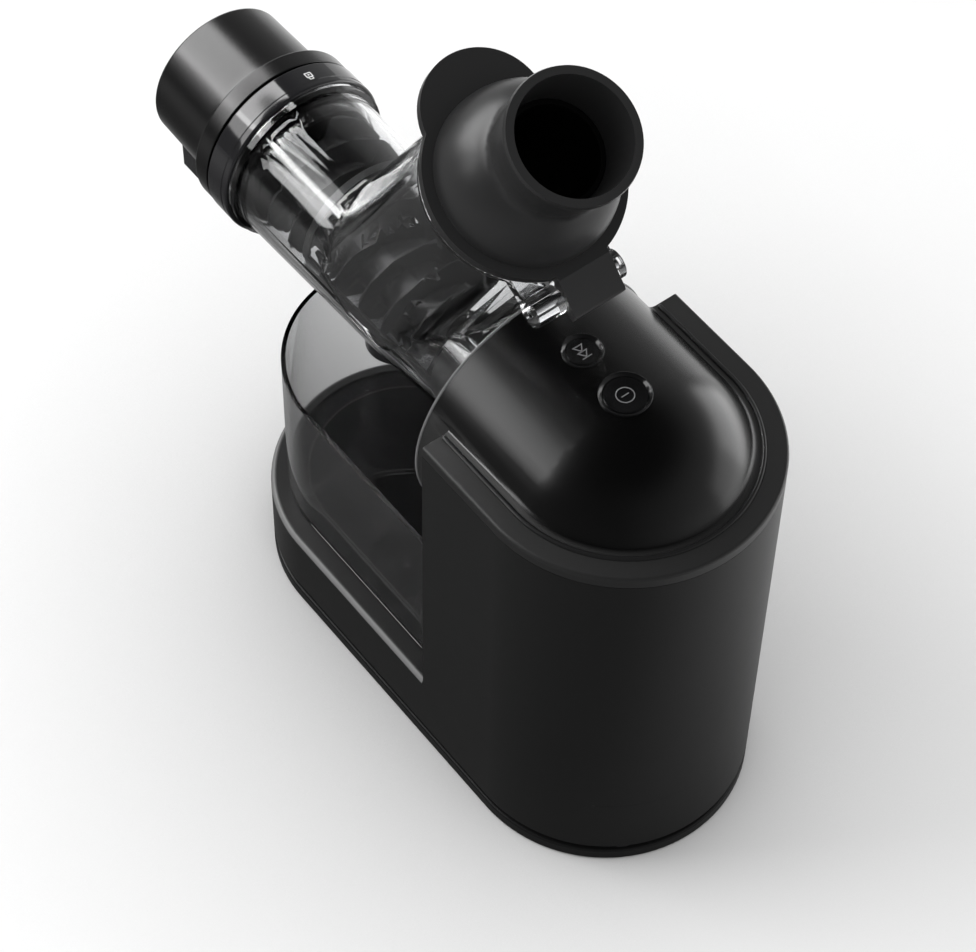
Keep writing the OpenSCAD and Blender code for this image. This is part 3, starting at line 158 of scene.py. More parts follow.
def buildBrush():
    # brushed or turned metal: fine lines around the Y axis or along it
    tree, start, end = newGroup("brushedLines", [
        ("Vector", "NodeSocketVector", None), ("Line Scale", "NodeSocketVector", (4000, 60, 60)),
        ("Rough Amount", "NodeSocketFloat", 0.15), ("Roughness", "NodeSocketFloat", 0.3),
        ("Color", "NodeSocketColor", (0.6, 0.6, 0.6, 1))], surfaceOutputs)
    stretch = tree.nodes.new("ShaderNodeVectorMath")
    stretch.operation = "MULTIPLY"
    tree.links.new(start.outputs["Vector"], stretch.inputs[0])
    tree.links.new(start.outputs["Line Scale"], stretch.inputs[1])
    lines = noiseNode(tree, stretch.outputs[0], *brushNoise["lines"])
    shift = centred(tree, lines)
    tone = mathNode(tree, "MULTIPLY_ADD", shift, brushNoise["tone"], 1.0)
    rough = mathNode(tree, "MULTIPLY_ADD", shift, start.outputs["Rough Amount"], start.outputs["Roughness"])
    tree.links.new(shadeNode(tree, start.outputs["Color"], tone), end.inputs["Color"])
    tree.links.new(rough, end.inputs["Roughness"])
    tree.links.new(lines, end.inputs["Height"])
    return tree


grainGroup = buildGrain()
brushGroup = buildBrush()


finishes = {
    # name: colour, roughness, and what else the finish has
    "housing_black": dict(color=(0.0065, 0.0065, 0.0067), rough=0.45, specular=0.25, grain=2600, bump=0.05,
                          sheen=0.06),
    "cover_black": dict(color=(0.0014, 0.0014, 0.0014), rough=0.25, specular=0.5, grain=2600, bump=0.02),
    "gloss_black": dict(color=(0.004, 0.004, 0.0042), rough=0.12, specular=0.5, grain=900, bump=0.004),
    "soft_black": dict(color=(0.02, 0.02, 0.021), rough=0.7, specular=0.25, grain=1800, bump=0.1),
    "seal_grey": dict(color=(0.09, 0.09, 0.092), rough=0.55, specular=0.4, grain=1500, bump=0.06),
    "clear_plastic": dict(color=(0.96, 0.965, 0.97), rough=0.02, glass=1.0, ior=1.47, specular=0.3, grain=60,
                          bump=0.003),
    "smoke_clear": dict(color=(0.012, 0.012, 0.013), rough=0.08, specular=0.55, grain=500, bump=0.004),
    "auger_grey": dict(color=(0.022, 0.022, 0.0225), rough=0.36, specular=0.4, grain=1600, bump=0.03),
    "sieve_steel": dict(color=(0.55, 0.55, 0.56), rough=0.28, metal=1.0, lines=(60, 3000, 60)),
    "bright_steel": dict(color=(0.66, 0.66, 0.67), rough=0.22, metal=1.0, lines=(60, 3000, 60)),
    "zinc": dict(color=(0.52, 0.53, 0.55), rough=0.35, metal=1.0, lines=(300, 300, 300)),
    "gear_plastic": dict(color=(0.66, 0.63, 0.54), rough=0.45, grain=1200, bump=0.04),
    "gear_metal": dict(color=(0.42, 0.42, 0.43), rough=0.4, metal=1.0, lines=(700, 700, 700)),
    "cast_grey": dict(color=(0.3, 0.31, 0.32), rough=0.5, metal=1.0, lines=(900, 900, 900)),
    "motor_steel": dict(color=(0.4, 0.41, 0.42), rough=0.32, metal=1.0, lines=(60, 2500, 60)),
    "brass": dict(color=(0.6, 0.43, 0.2), rough=0.3, metal=1.0, lines=(60, 2500, 60)),
    "copper": dict(color=(0.56, 0.26, 0.12), rough=0.35, metal=1.0, lines=(200, 2500, 200)),
    "magnet_grey": dict(color=(0.09, 0.09, 0.095), rough=0.6, grain=1500, bump=0.08),
    "carbon": dict(color=(0.02, 0.02, 0.02), rough=0.65, grain=1500, bump=0.08),
    "board_green": dict(color=(0.02, 0.13, 0.05), rough=0.35, grain=700, bump=0.03),
    "part_black": dict(color=(0.018, 0.018, 0.019), rough=0.45, grain=1800, bump=0.05),
    "sleeve_blue": dict(color=(0.03, 0.03, 0.16), rough=0.3, grain=600, bump=0.01),
    "nylon_white": dict(color=(0.72, 0.71, 0.66), rough=0.45, grain=1500, bump=0.04),
}


# how much the textures change the roughness and the tone, and the depth of the relief in metres
surface = dict(lineRough=0.12, clearRough=0.01, mouldedRough=0.04, clearTone=0.02, mouldedTone=0.12,
               lineBump=0.05, relief=0.0004, sheenRough=0.3)


def buildMaterial(name, color, rough, specular=0.5, grain=1500, bump=0.03, metal=0.0, glass=0.0, ior=1.45,
                  lines=None, sheen=0.0):
    material = bpy.data.materials.new(name)
    material.use_nodes = True
    tree = material.node_tree
    shader = tree.nodes["Principled BSDF"]
    shader.inputs["Metallic"].default_value = metal
    shader.inputs["IOR"].default_value = ior
    shader.inputs["Specular IOR Level"].default_value = specular
    shader.inputs["Transmission Weight"].default_value = glass
    shader.inputs["Sheen Weight"].default_value = sheen
    shader.inputs["Sheen Roughness"].default_value = surface["sheenRough"]
    place = tree.nodes.new("ShaderNodeTexCoord")
    group = tree.nodes.new("ShaderNodeGroup")
    group.node_tree = brushGroup if lines else grainGroup
    group.inputs["Color"].default_value = (*color, 1)
    group.inputs["Roughness"].default_value = rough
    if lines:
        group.inputs["Line Scale"].default_value = lines
        group.inputs["Rough Amount"].default_value = surface["lineRough"]
    else:
        group.inputs["Grain Scale"].default_value = grain
        kind = "clear" if glass else "moulded"
        group.inputs["Rough Amount"].default_value = surface[kind + "Rough"]
        group.inputs["Tone Amount"].default_value = surface[kind + "Tone"]
    tree.links.new(place.outputs["Object"], group.inputs["Vector"])
    tree.links.new(group.outputs["Color"], shader.inputs["Base Color"])
    tree.links.new(group.outputs["Roughness"], shader.inputs["Roughness"])
    relief = tree.nodes.new("ShaderNodeBump")
    relief.inputs["Strength"].default_value = surface["lineBump"] if lines else bump
    relief.inputs["Distance"].default_value = surface["relief"]
    tree.links.new(group.outputs["Height"], relief.inputs["Height"])
    tree.links.new(relief.outputs["Normal"], shader.inputs["Normal"])
    return material


materials = {name: buildMaterial(name, **finish) for name, finish in finishes.items()}
print("materials", len(materials))


def linkMesh(name, mesh, material):
    piece = bpy.data.objects.new(name, mesh)
    scene.collection.objects.link(piece)
    mesh.materials.clear()
    mesh.materials.append(material)
    return piece


def smoothMesh(mesh, sharp):
    mesh.polygons.foreach_set("use_smooth", [True] * len(mesh.polygons))
    mesh.set_sharp_from_angle(angle=math.radians(sharp))
    mesh.update()


def evenShade(piece):
    # flat faces keep flat normals beside their rounded edges
    even = piece.modifiers.new("even", "WEIGHTED_NORMAL")
    even.keep_sharp = True
    even.weight = 60


# metres within which points merge, and the angle under which two facets count as one
weld = dict(made=3e-6, sliver=1e-6, packed=2e-6, flatAngle=math.radians(0.4))


def meshPiece(name, points, faces, material, sharp=35):
    mesh = bpy.data.meshes.new(name)
    mesh.from_pydata([tuple(mm * float(c) for c in p) for p in points], [], faces)
    work = bmesh.new()
    work.from_mesh(mesh)
    bmesh.ops.remove_doubles(work, verts=work.verts, dist=weld["made"])
    bmesh.ops.dissolve_degenerate(work, edges=work.edges, dist=weld["sliver"])
    bmesh.ops.recalc_face_normals(work, faces=work.faces)
    work.to_mesh(mesh)
    work.free()
    smoothMesh(mesh, sharp)
    return linkMesh(name, mesh, material)


satinOf = {}  # finishes that a node has in place of its slot's own
# the tower's round rear wall in metres, and the Y and Z past which the board's posts lie
towerWall = dict(radius=0.072, arcY=0.12026, proud=0.0005, postsFrom=(0.14, 0.055))


def dressPosts(work):
    # two board posts reach through the tower's round wall: their ends are taken off flush with it
    fromY, fromZ = towerWall["postsFrom"]
    ends = [v for v in work.verts if v.co.z > fromZ and v.co.y > fromY
            and math.hypot(v.co.x, v.co.y - towerWall["arcY"]) > towerWall["radius"] + towerWall["proud"]]
    bmesh.ops.delete(work, geom=ends, context="VERTS")
    openEdges = [e for e in work.edges if e.is_boundary and e.verts[0].co.y > fromY]
    bmesh.ops.holes_fill(work, edges=openEdges, sides=0)
    print("post ends", len(ends))


def softCopy(node, sharp=28):
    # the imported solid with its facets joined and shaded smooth
    source = frame["nodes"][node]
    mesh = source.data.copy()
    work = bmesh.new()
    work.from_mesh(mesh)
    bmesh.ops.remove_doubles(work, verts=work.verts, dist=weld["packed"])
    if node == "outer_housing":
        dressPosts(work)
    bmesh.ops.dissolve_limit(work, angle_limit=weld["flatAngle"], verts=work.verts, edges=work.edges)
    work.to_mesh(mesh)
    work.free()
    smoothMesh(mesh, sharp)
    piece = linkMesh(node + "Part", mesh, satinOf.get(node) or materials[slotOf[node]])
    evenShade(piece)
    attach(piece, bodyOf[node])
    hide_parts(node)
    return piece


def place(piece, body, slot, *nodes):
    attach(piece, body)
    if nodes:
        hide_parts(*nodes)
    return piece


def arc(cx, cy, radius, first, last, steps=8):
    angles = [math.radians(first + (last - first) * i / steps) for i in range(steps + 1)]
    return [(cx + radius * math.cos(a), cy + radius * math.sin(a)) for a in angles]


def revolve(outline, toRow, count=96):
    # outline: (radius, height) points; toRow turns a point about the axis into the part's millimetres
    points, faces = [], []
    for i in range(count):
        angle = 2 * math.pi * i / count
        c, s = math.cos(angle), math.sin(angle)
        points += [toRow(radius * c, radius * s, height) for radius, height in outline]
    rows = len(outline)
    for i in range(count):
        a, b = i * rows, ((i + 1) % count) * rows
        for k in range(rows):
            n = (k + 1) % rows
            faces.append((a + k, b + k, b + n, a + n))
    return points, faces


def barrelFrame(x, z, y):
    return (x, y, barrelAxis + z)


def lidFrame(tilt):
    s, c = math.sin(math.radians(tilt)), math.cos(math.radians(tilt))
    return lambda x, y, z: (x, lidPlace[0] + y * c + z * s, lidPlace[1] - y * s + z * c)


def finishPiece(name, points, faces, slot, body, *nodes, sharp=32, material=None):
    piece = meshPiece(name, points, faces, material or materials[slot], sharp)
    evenShade(piece)
    return place(piece, body, slot, *nodes)


def evalNodes(name, tree, values):
    # run a geometry tree once on an empty mesh and keep the plain result
    carrier = bpy.data.objects.new(name + "Carrier", bpy.data.meshes.new(name + "Carrier"))
    scene.collection.objects.link(carrier)
    modifier = carrier.modifiers.new(name, "NODES")
    modifier.node_group = tree
    for item in tree.interface.items_tree:
        if item.item_type == "SOCKET" and item.in_out == "INPUT" and item.name in values:
            modifier[item.identifier] = values[item.name]
    graph = bpy.context.evaluated_depsgraph_get()
    mesh = bpy.data.meshes.new_from_object(carrier.evaluated_get(graph), depsgraph=graph)
    bpy.data.objects.remove(carrier)
    mesh.name = name
    return mesh


made = set()

# buttons and their bezels
keyShape = {"power": dict(y=118.3, bezel=12.0, button=9.9), "reverse": dict(y=88.9, bezel=9.5, button=7.4)}
keyLevel = dict(seat=267.0, edge=275.55, lip=275.25, slope=274.7, pocket=274.4, ledge=268.5,
                foot=271.4, shoulder=274.2, crown=274.72, dish=274.62, middle=274.6)
keyRound = dict(seat=0.5, edge=0.35, pocket=0.25, foot=0.3, shoulder=0.6)  # radii of the rounded edges
keyInset = dict(lip=1.2, slope=1.75, ledge=2.0)  # how far inside the bezel's radius
keyDish = dict(crown=0.75, dish=0.4)  # shares of the button's radius
printGrey = buildMaterial("printGrey", (0.17, 0.17, 0.175), 0.5, specular=0.3, grain=900, bump=0.02)


def flatRing(outer, inner, count=40):
    points, faces = [], []
    for i in range(count):
        a = 2 * math.pi * i / count
        points += [(outer * math.cos(a), outer * math.sin(a)), (inner * math.cos(a), inner * math.sin(a))]
        n = (i + 1) % count
        faces.append((2 * i, 2 * n, 2 * n + 1, 2 * i + 1))
    return points, faces


def flatOutline(corners, width):
    # a closed line of even width through the corners
    points, faces = [], []
    count = len(corners)
    for i in range(count):
        p = Vector(corners[i])
        a, b = (p - Vector(corners[i - 1])).normalized(), (Vector(corners[(i + 1) % count]) - p).normalized()
        side = Vector((-(a + b).y, (a + b).x)).normalized()
        reach = width / 2 / max(0.35, side.dot(Vector((-a.y, a.x))))
        points += [tuple(p + side * reach), tuple(p - side * reach)]
        n = (i + 1) % count
        faces.append((2 * i, 2 * n, 2 * n + 1, 2 * i + 1))
    return points, faces


def joinFlat(*shapes):
    points, faces = [], []
    for shapePoints, shapeFaces in shapes:
        faces += [tuple(i + len(points) for i in face) for face in shapeFaces]
        points += shapePoints
    return points, faces


def bar(x0, y0, x1, y1):
    return [(x0, y0), (x1, y0), (x1, y1), (x0, y1)], [(0, 1, 2, 3)]


def solidMark(flat, toRow, thickness=0.12):
    points, faces = flat
    count = len(points)
    solid = [toRow(x, y, thickness) for x, y in points] + [toRow(x, y, -thickness) for x, y in points]
    edges = {}
    for face in faces:
        for a, b in zip(face, face[1:] + face[:1]):
            edges[(a, b)] = edges.get((b, a)) is None
            if not edges[(a, b)]:
                edges[(b, a)] = False
    walls = [(a, a + count, b + count, b) for (a, b), outer in edges.items() if outer]
    return solid, list(faces) + [tuple(i + count for i in reversed(face)) for face in faces] + walls


powerIcon = joinFlat(flatRing(4.3, 3.85), bar(-2.0, -0.22, 2.0, 0.22))
reverseIcon = joinFlat(flatOutline([(-2.3, -1.5), (2.3, -1.5), (0, 1.8)], 0.5),
                       flatOutline([(-2.3, 2.0), (2.3, 2.0), (0, 5.2)], 0.5), bar(-2.5, 5.3, 2.5, 5.8))
reverseIcon = ([(x, y - 2.1) for x, y in reverseIcon[0]], reverseIcon[1])
for key, icon in (("power", powerIcon), ("reverse", reverseIcon)):
    shape, level, curve, inset = keyShape[key], keyLevel, keyRound, keyInset
    r, b = shape["bezel"], shape["button"]

    def onKey(x, y, z, keyY=shape["y"]):
        return (x, keyY + y, z)

    bezelOutline = [(0, level["seat"])] \
        + arc(r - curve["seat"], level["seat"] + curve["seat"], curve["seat"], -90, 0, 4) \
        + arc(r - curve["edge"], level["edge"], curve["edge"], 0, 120, 6) \
        + [(r - inset["lip"], level["lip"]), (r - inset["slope"], level["slope"])] \
        + arc(r - inset["slope"], level["pocket"], curve["pocket"], 90, 180, 3) \
        + [(r - inset["ledge"], level["ledge"]), (0, level["ledge"])]
    bezelShape = revolve(bezelOutline, onKey, 80)
    finishPiece(key + "BezelRing", *bezelShape, "gloss_black", "housing", key + "_bezel")
    buttonOutline = [(0, level["foot"])] \
        + arc(b - curve["foot"], level["foot"] + curve["foot"], curve["foot"], -90, 0, 3) \
        + arc(b - curve["shoulder"], level["shoulder"], curve["shoulder"], 0, 82, 6) \
        + [(b * keyDish["crown"], level["crown"]), (b * keyDish["dish"], level["dish"]), (0, level["middle"])]
    buttonShape = revolve(buttonOutline, onKey, 80)
    finishPiece(key + "ButtonCap", *buttonShape, "gloss_black", key + "_key", key + "_button")
    finishPiece(key + "Mark", *solidMark(icon, lambda x, y, z: onKey(x, y, level["slope"] + z)),
                "gloss_black", key + "_key", material=printGrey)
made |= {"power_bezel", "reverse_bezel", "power_button", "reverse_button"}
print("keys done")

# raised bead along the inside of the cover's ledge
bead = dict(radius=1.3, side=61.0, z=241.6, front=70.8, arcY=120.3, step=2.0, arcSteps=72, around=16)
ledgeSatin = buildMaterial("ledgeSatin", (0.009, 0.009, 0.0092), 0.32, specular=0.4, grain=2600, bump=0.02)


def beadPiece():
    side, turn, around = bead["side"], math.pi / bead["arcSteps"], bead["around"]
    steps = int((bead["arcY"] - bead["front"]) / bead["step"]) + 1
    straight = [(side, bead["front"] + bead["step"] * i) for i in range(steps)]
    path = straight + [(side * math.cos(turn * i), bead["arcY"] + side * math.sin(turn * i))
                       for i in range(bead["arcSteps"] + 1)] + [(-x, y) for x, y in reversed(straight)]
    points, faces, rings = [], [], []
    for i, (x, y) in enumerate(path):
        a, b = Vector(path[max(0, i - 1)]), Vector(path[min(len(path) - 1, i + 1)])
        rings.append((Vector((x, y)), (b - a).normalized(), 1.0))

    def roundEnd(ring, sign):
        centre, along = ring[:2]
        return [(centre + along * sign * bead["radius"] * math.sin(math.radians(t)), along,
                 math.cos(math.radians(t))) for t in (20, 40, 60, 75, 89)]

    rings = list(reversed(roundEnd(rings[0], -1))) + rings + roundEnd(rings[-1], 1)
    for centre, along, size in rings:
        across = Vector((along.y, -along.x))
        for k in range(around):
            t = 2 * math.pi * k / around
            out = bead["radius"] * size * math.cos(t)
            points.append((centre.x + across.x * out, centre.y + across.y * out,
                           bead["z"] + bead["radius"] * size * math.sin(t)))
    for i in range(len(rings) - 1):
        for k in range(around):
            n = (k + 1) % around
            faces.append((i * around + k, i * around + n, (i + 1) * around + n, (i + 1) * around + k))
    faces.append(tuple(range(around)))
    faces.append(tuple(reversed(range((len(rings) - 1) * around, len(rings) * around))))
    finishPiece("ledgeBead", points, faces, "cover_black", "housing", material=ledgeSatin)


beadPiece()

# fine rolled edge round the open front of the barrel; its light grey colour is a painted highlight
frontRim = dict(radius=64.8, tube=0.7, y=55.3)
rimPaintedHighlight = buildMaterial("rimPaintedHighlight", (0.13, 0.13, 0.132), 0.28, specular=0.5, grain=2600, bump=0.02)
rimOutline = arc(frontRim["radius"], frontRim["y"], frontRim["tube"], 0, 324, 9)
finishPiece("barrelRim", *revolve(rimOutline, barrelFrame, 144), "cover_black", "housing", material=rimPaintedHighlight)

# feed tube under the funnel's shoulder; its taper lists a height and the two radii there
feedTube = dict(outer=23.3, inner=20.9, top=33.4, rim=0.5, shoulder=30, tilt=30.5,
                taper=[(20, 20.7, 22.3), (5, 20.0, 21.6), (-25, 17.4, 19.3), (-56.0, 13.8, 15.8)])
tubeMatte = buildMaterial("tubeMatte", (0.002, 0.002, 0.002), 0.75, specular=0.08, grain=1500, bump=0.03)
tubeRim = feedTube["rim"]
finishPiece("feedTubeRing", *revolve(
    arc(feedTube["outer"] - tubeRim, feedTube["top"] - tubeRim, tubeRim, 0, 90, 4)
    + arc(feedTube["inner"] + tubeRim, feedTube["top"] - tubeRim, tubeRim, 90, 180, 4)
    + [(inside, height) for height, inside, outside in feedTube["taper"]]
    + [(outside, height) for height, inside, outside in reversed(feedTube["taper"])]
    + [(feedTube["outer"], feedTube["shoulder"])],
    lidFrame(feedTube["tilt"])), "gloss_black", "lid_unit", "feed_ring", material=tubeMatte)
made.add("feed_ring")

# sieve screen: round holes in hexagonal rows, from Front to Rear on a cone given at two places
screen = {"Pitch": 2.35, "Hole": 0.72, "Thickness": 0.5, "Front": -66.5, "Rear": 22.2,
          "Front Y": -72.0, "Front Radius": 33.5, "Rear Y": 24.7, "Rear Radius": 30.8}
screenTurn = {"Half Angle": math.radians(60)}
screenSizes = {label: length * mm for label, length in screen.items()} | screenTurn
cellForm = dict(sides=12, overlap=1.09)  # sides of a cell's ring, and its reach over the next cell


def sieveTree(sizes):
    tree = bpy.data.node_groups.new("sieveCells", "GeometryNodeTree")
    for label, value in sizes.items():
        socket = tree.interface.new_socket(label, in_out="INPUT", socket_type="NodeSocketFloat")
        socket.default_value = value
    tree.interface.new_socket("Material", in_out="INPUT", socket_type="NodeSocketMaterial")
    tree.interface.new_socket("Geometry", in_out="OUTPUT", socket_type="NodeSocketGeometry")
    start, end = tree.nodes.new("NodeGroupInput"), tree.nodes.new("NodeGroupOutput")
    given = start.outputs
    link = tree.links.new
    calc = mathIn(tree)

    # one cell: a flat ring round the hole, its twin below, and the hole's wall
    cellRadius = calc("DIVIDE", given["Pitch"], 2 * math.cos(math.pi / cellForm["sides"]))
    rim = tree.nodes.new("GeometryNodeMeshCone")
    rim.fill_type = "NONE"
    rim.inputs["Vertices"].default_value = cellForm["sides"]
    rim.inputs["Depth"].default_value = 0
    link(given["Hole"], rim.inputs["Radius Top"])
    link(calc("MULTIPLY", cellRadius, cellForm["overlap"]), rim.inputs["Radius Bottom"])
    wall = tree.nodes.new("GeometryNodeMeshCone")
    wall.fill_type = "NONE"
    wall.inputs["Vertices"].default_value = cellForm["sides"]
    link(given["Hole"], wall.inputs["Radius Top"])
    link(given["Hole"], wall.inputs["Radius Bottom"])
    link(given["Thickness"], wall.inputs["Depth"])
    lower = tree.nodes.new("GeometryNodeFlipFaces")
    link(rim.outputs[0], lower.inputs[0])
    lift = tree.nodes.new("GeometryNodeTransform")
    link(rim.outputs[0], lift.inputs["Geometry"])
    shift = tree.nodes.new("ShaderNodeCombineXYZ")
    link(given["Thickness"], shift.inputs["Z"])
    link(shift.outputs[0], lift.inputs["Translation"])
    turnWall = tree.nodes.new("GeometryNodeFlipFaces")
    link(wall.outputs[0], turnWall.inputs[0])
    cell = tree.nodes.new("GeometryNodeJoinGeometry")
    for part in (lower.outputs[0], lift.outputs[0], turnWall.outputs[0]):
        link(part, cell.inputs[0])
    # hexagonal rows of cell places over the opened-out screen
    meanRadius = calc("MULTIPLY", calc("ADD", given["Front Radius"], given["Rear Radius"]), 0.5)
    across = calc("MULTIPLY", calc("MULTIPLY", given["Half Angle"], meanRadius), 2.0)
    along = calc("SUBTRACT", given["Rear"], given["Front"])
    rowStep = calc("MULTIPLY", given["Pitch"], math.sqrt(3) / 2)
    countX = calc("ADD", calc("FLOOR", calc("DIVIDE", across, given["Pitch"])), 1.0)
    countY = calc("ADD", calc("FLOOR", calc("DIVIDE", along, rowStep)), 1.0)
    grid = tree.nodes.new("GeometryNodeMeshGrid")
    link(calc("MULTIPLY", calc("SUBTRACT", countX, 1.0), given["Pitch"]), grid.inputs["Size X"])
    link(calc("MULTIPLY", calc("SUBTRACT", countY, 1.0), rowStep), grid.inputs["Size Y"])
    link(countX, grid.inputs["Vertices X"])
    link(countY, grid.inputs["Vertices Y"])
    index = tree.nodes.new("GeometryNodeInputIndex")
    row = calc("FLOORED_MODULO", calc("FLOORED_MODULO", index.outputs[0], countY), 2.0)
    offset = tree.nodes.new("ShaderNodeCombineXYZ")
    halfPitch = calc("MULTIPLY", given["Pitch"], 0.5)
    link(calc("MULTIPLY", calc("MULTIPLY_ADD", row, 1.0, -0.5), halfPitch), offset.inputs["X"])
    shiftRow = tree.nodes.new("GeometryNodeSetPosition")
    link(grid.outputs[0], shiftRow.inputs["Geometry"])
    link(offset.outputs[0], shiftRow.inputs["Offset"])
    scatter = tree.nodes.new("GeometryNodeInstanceOnPoints")
    link(shiftRow.outputs[0], scatter.inputs["Points"])
    link(cell.outputs[0], scatter.inputs["Instance"])
    real = tree.nodes.new("GeometryNodeRealizeInstances")
    link(scatter.outputs[0], real.inputs[0])
    # roll the flat sheet onto the sieve's cone, centred straight down
    position = tree.nodes.new("GeometryNodeInputPosition")
    split = tree.nodes.new("ShaderNodeSeparateXYZ")
    link(position.outputs[0], split.inputs[0])
    place = calc("ADD", split.outputs["Y"], calc("MULTIPLY", calc("ADD", given["Front"], given["Rear"]), 0.5))
    coneLength = calc("SUBTRACT", given["Rear Y"], given["Front Y"])
    share = calc("DIVIDE", calc("SUBTRACT", place, given["Front Y"]), coneLength)
    widening = calc("SUBTRACT", given["Rear Radius"], given["Front Radius"])
    radius = calc("MULTIPLY_ADD", share, widening, given["Front Radius"])
    angle = calc("DIVIDE", split.outputs["X"], meanRadius)
    reach = calc("SUBTRACT", radius, calc("SUBTRACT", given["Thickness"], split.outputs["Z"]))
    rolled = tree.nodes.new("ShaderNodeCombineXYZ")
    link(calc("MULTIPLY", reach, calc("SINE", angle)), rolled.inputs["X"])
    link(place, rolled.inputs["Y"])
    drop = calc("MULTIPLY", reach, calc("COSINE", angle))
    link(calc("SUBTRACT", barrelAxis * mm, drop), rolled.inputs["Z"])
    roll = tree.nodes.new("GeometryNodeSetPosition")
    link(real.outputs[0], roll.inputs["Geometry"])
    link(rolled.outputs[0], roll.inputs["Position"])
    finish = tree.nodes.new("GeometryNodeSetMaterial")
    link(roll.outputs[0], finish.inputs["Geometry"])
    link(given["Material"], finish.inputs["Material"])
    link(finish.outputs[0], end.inputs[0])
    return tree


screenGiven = screenSizes | {"Material": materials["sieve_steel"]}
screenMesh = evalNodes("sieveHoles", sieveTree(screenSizes), screenGiven)
screenPiece = bpy.data.objects.new("sieveHoles", screenMesh)
scene.collection.objects.link(screenPiece)
place(screenPiece, "drum_unit", "sieve_steel", "sieve_screen")
made.add("sieve_screen")
print("screen", len(screenMesh.polygons))

# end cap: skirt, ring, inner sleeve and the boss of its bush in one section
cap = dict(
    # radii
    faceFlat=30, skirt=37.3, skirtEnd=38.1, root=38.2, ring=44.6, ringIn=42.8,
    sleeve=34.5, sleeveIn=32.0, chamber=34.8, bossOut=15.0, bossIn=12.1,
    # places along the barrel's axis
    face=-192.3, boreFront=-190.2, chamberFront=-189.3, skirtBack=-155, cove=-152.0, bossBack=-150.2,
    chamberBack=-148.5, ringFront=-147.2, ringFloor=-145.4, ringMiddle=-142, back=-137.4, sleeveBack=-110.1,
    # rounded edges, and two corners of the way out for the pulp
    faceRound=2, coveRound=4.0, ringRound=1.2, backRound=0.5,
    pulpWay=((-24.5, -184.3, 130), (24.5, -167.8, 193)))


def capSection():
    # the outside from the face to the back, then the inside towards the face again
    faceRound, ringRound, backRound = cap["faceRound"], cap["ringRound"], cap["backRound"]
    outside = [(0, cap["face"]), (cap["faceFlat"], cap["face"])] \
        + arc(cap["skirt"] - faceRound, cap["face"] + faceRound, faceRound, -90, 0, 8) \
        + [(cap["skirtEnd"], cap["skirtBack"])] \
        + arc(cap["root"] + cap["coveRound"], cap["cove"], cap["coveRound"], 180, 105, 8) \
        + arc(cap["ring"] - ringRound, cap["ringFront"] + ringRound, ringRound, -80, 0, 6) \
        + [(cap["ring"], cap["ringMiddle"])] \
        + arc(cap["ring"] - backRound, cap["back"] - backRound, backRound, 0, 90, 4)
    inside = [("ringIn", "back"), ("ringIn", "ringFloor"), ("sleeve", "ringFloor"), ("sleeve", "sleeveBack"),
              ("sleeveIn", "sleeveBack"), ("sleeveIn", "chamberBack"), ("chamber", "chamberBack"),
              ("chamber", "chamberFront"), ("bossOut", "chamberFront"), ("bossOut", "bossBack"),
              ("bossIn", "bossBack"), ("bossIn", "boreFront")]
    return outside + [(cap[radius], cap[along]) for radius, along in inside] + [(0, cap["boreFront"])]


capPiece = meshPiece("endCapShell", *revolve(capSection(), barrelFrame, 128), materials["cover_black"], 32)


def boxMesh(name, low, high):
    mesh = bpy.data.meshes.new(name)
    work = bmesh.new()
    bmesh.ops.create_cube(work, size=1)
    for vertex in work.verts:
        vertex.co = Vector([mm * (low[i] if vertex.co[i] < 0 else high[i]) for i in range(3)])
    work.to_mesh(mesh)
    work.free()
    return mesh


def cutAway(piece, cutterMesh):
    cutter = bpy.data.objects.new("cutter", cutterMesh)
    scene.collection.objects.link(cutter)
    cut = piece.modifiers.new("cut", "BOOLEAN")
    cut.object, cut.operation, cut.solver = cutter, "DIFFERENCE", "EXACT"
    graph = bpy.context.evaluated_depsgraph_get()
    mesh = bpy.data.meshes.new_from_object(piece.evaluated_get(graph), depsgraph=graph)
    piece.modifiers.remove(cut)
    bpy.data.objects.remove(cutter)
    piece.data = mesh
    smoothMesh(mesh, 32)


cutAway(capPiece, boxMesh("pulpWay", *cap["pulpWay"]))
evenShade(capPiece)
place(capPiece, "cap_unit", "cover_black", "end_cap")
made.add("end_cap")

# smoky collar, with a shallow groove near its rear edge
collar = dict(radius=45.0, inner=40.8, front=-136.0, middle=-130, back=-121.1, frontRound=0.6, backRound=1.2,
              groove=0.35, lips=(-125.5, -124.3), floor=(-125.2, -124.6))


def collarSection():
    outer, frontRound, backRound = collar["radius"], collar["frontRound"], collar["backRound"]
    lips, floor, deep = collar["lips"], collar["floor"], outer - collar["groove"]
    grooveCorners = [(outer, lips[0]), (deep, floor[0]), (deep, floor[1]), (outer, lips[1])]
    return [(collar["inner"], collar["front"])] \
        + arc(outer - frontRound, collar["front"] + frontRound, frontRound, -90, 0, 5) \
        + [(outer, collar["middle"])] + grooveCorners \
        + arc(outer - backRound, collar["back"] - backRound, backRound, 0, 90, 6) \
        + [(collar["inner"], collar["back"])]


collarShape = revolve(collarSection(), barrelFrame, 128)
finishPiece("collarBand", *collarShape, "smoke_clear", "drum_unit", "drum_collar")
made.add("drum_collar")

# padlock on the collar
def onBarrel(radius, degrees, yMid):
    # flat mark wrapped round the barrel's axis; x runs round, y along the axis towards the back
    return lambda x, y, z: ((radius + z) * math.sin(math.radians(degrees) + x / radius), yMid + y,
                            barrelAxis + (radius + z) * math.cos(math.radians(degrees) + x / radius))


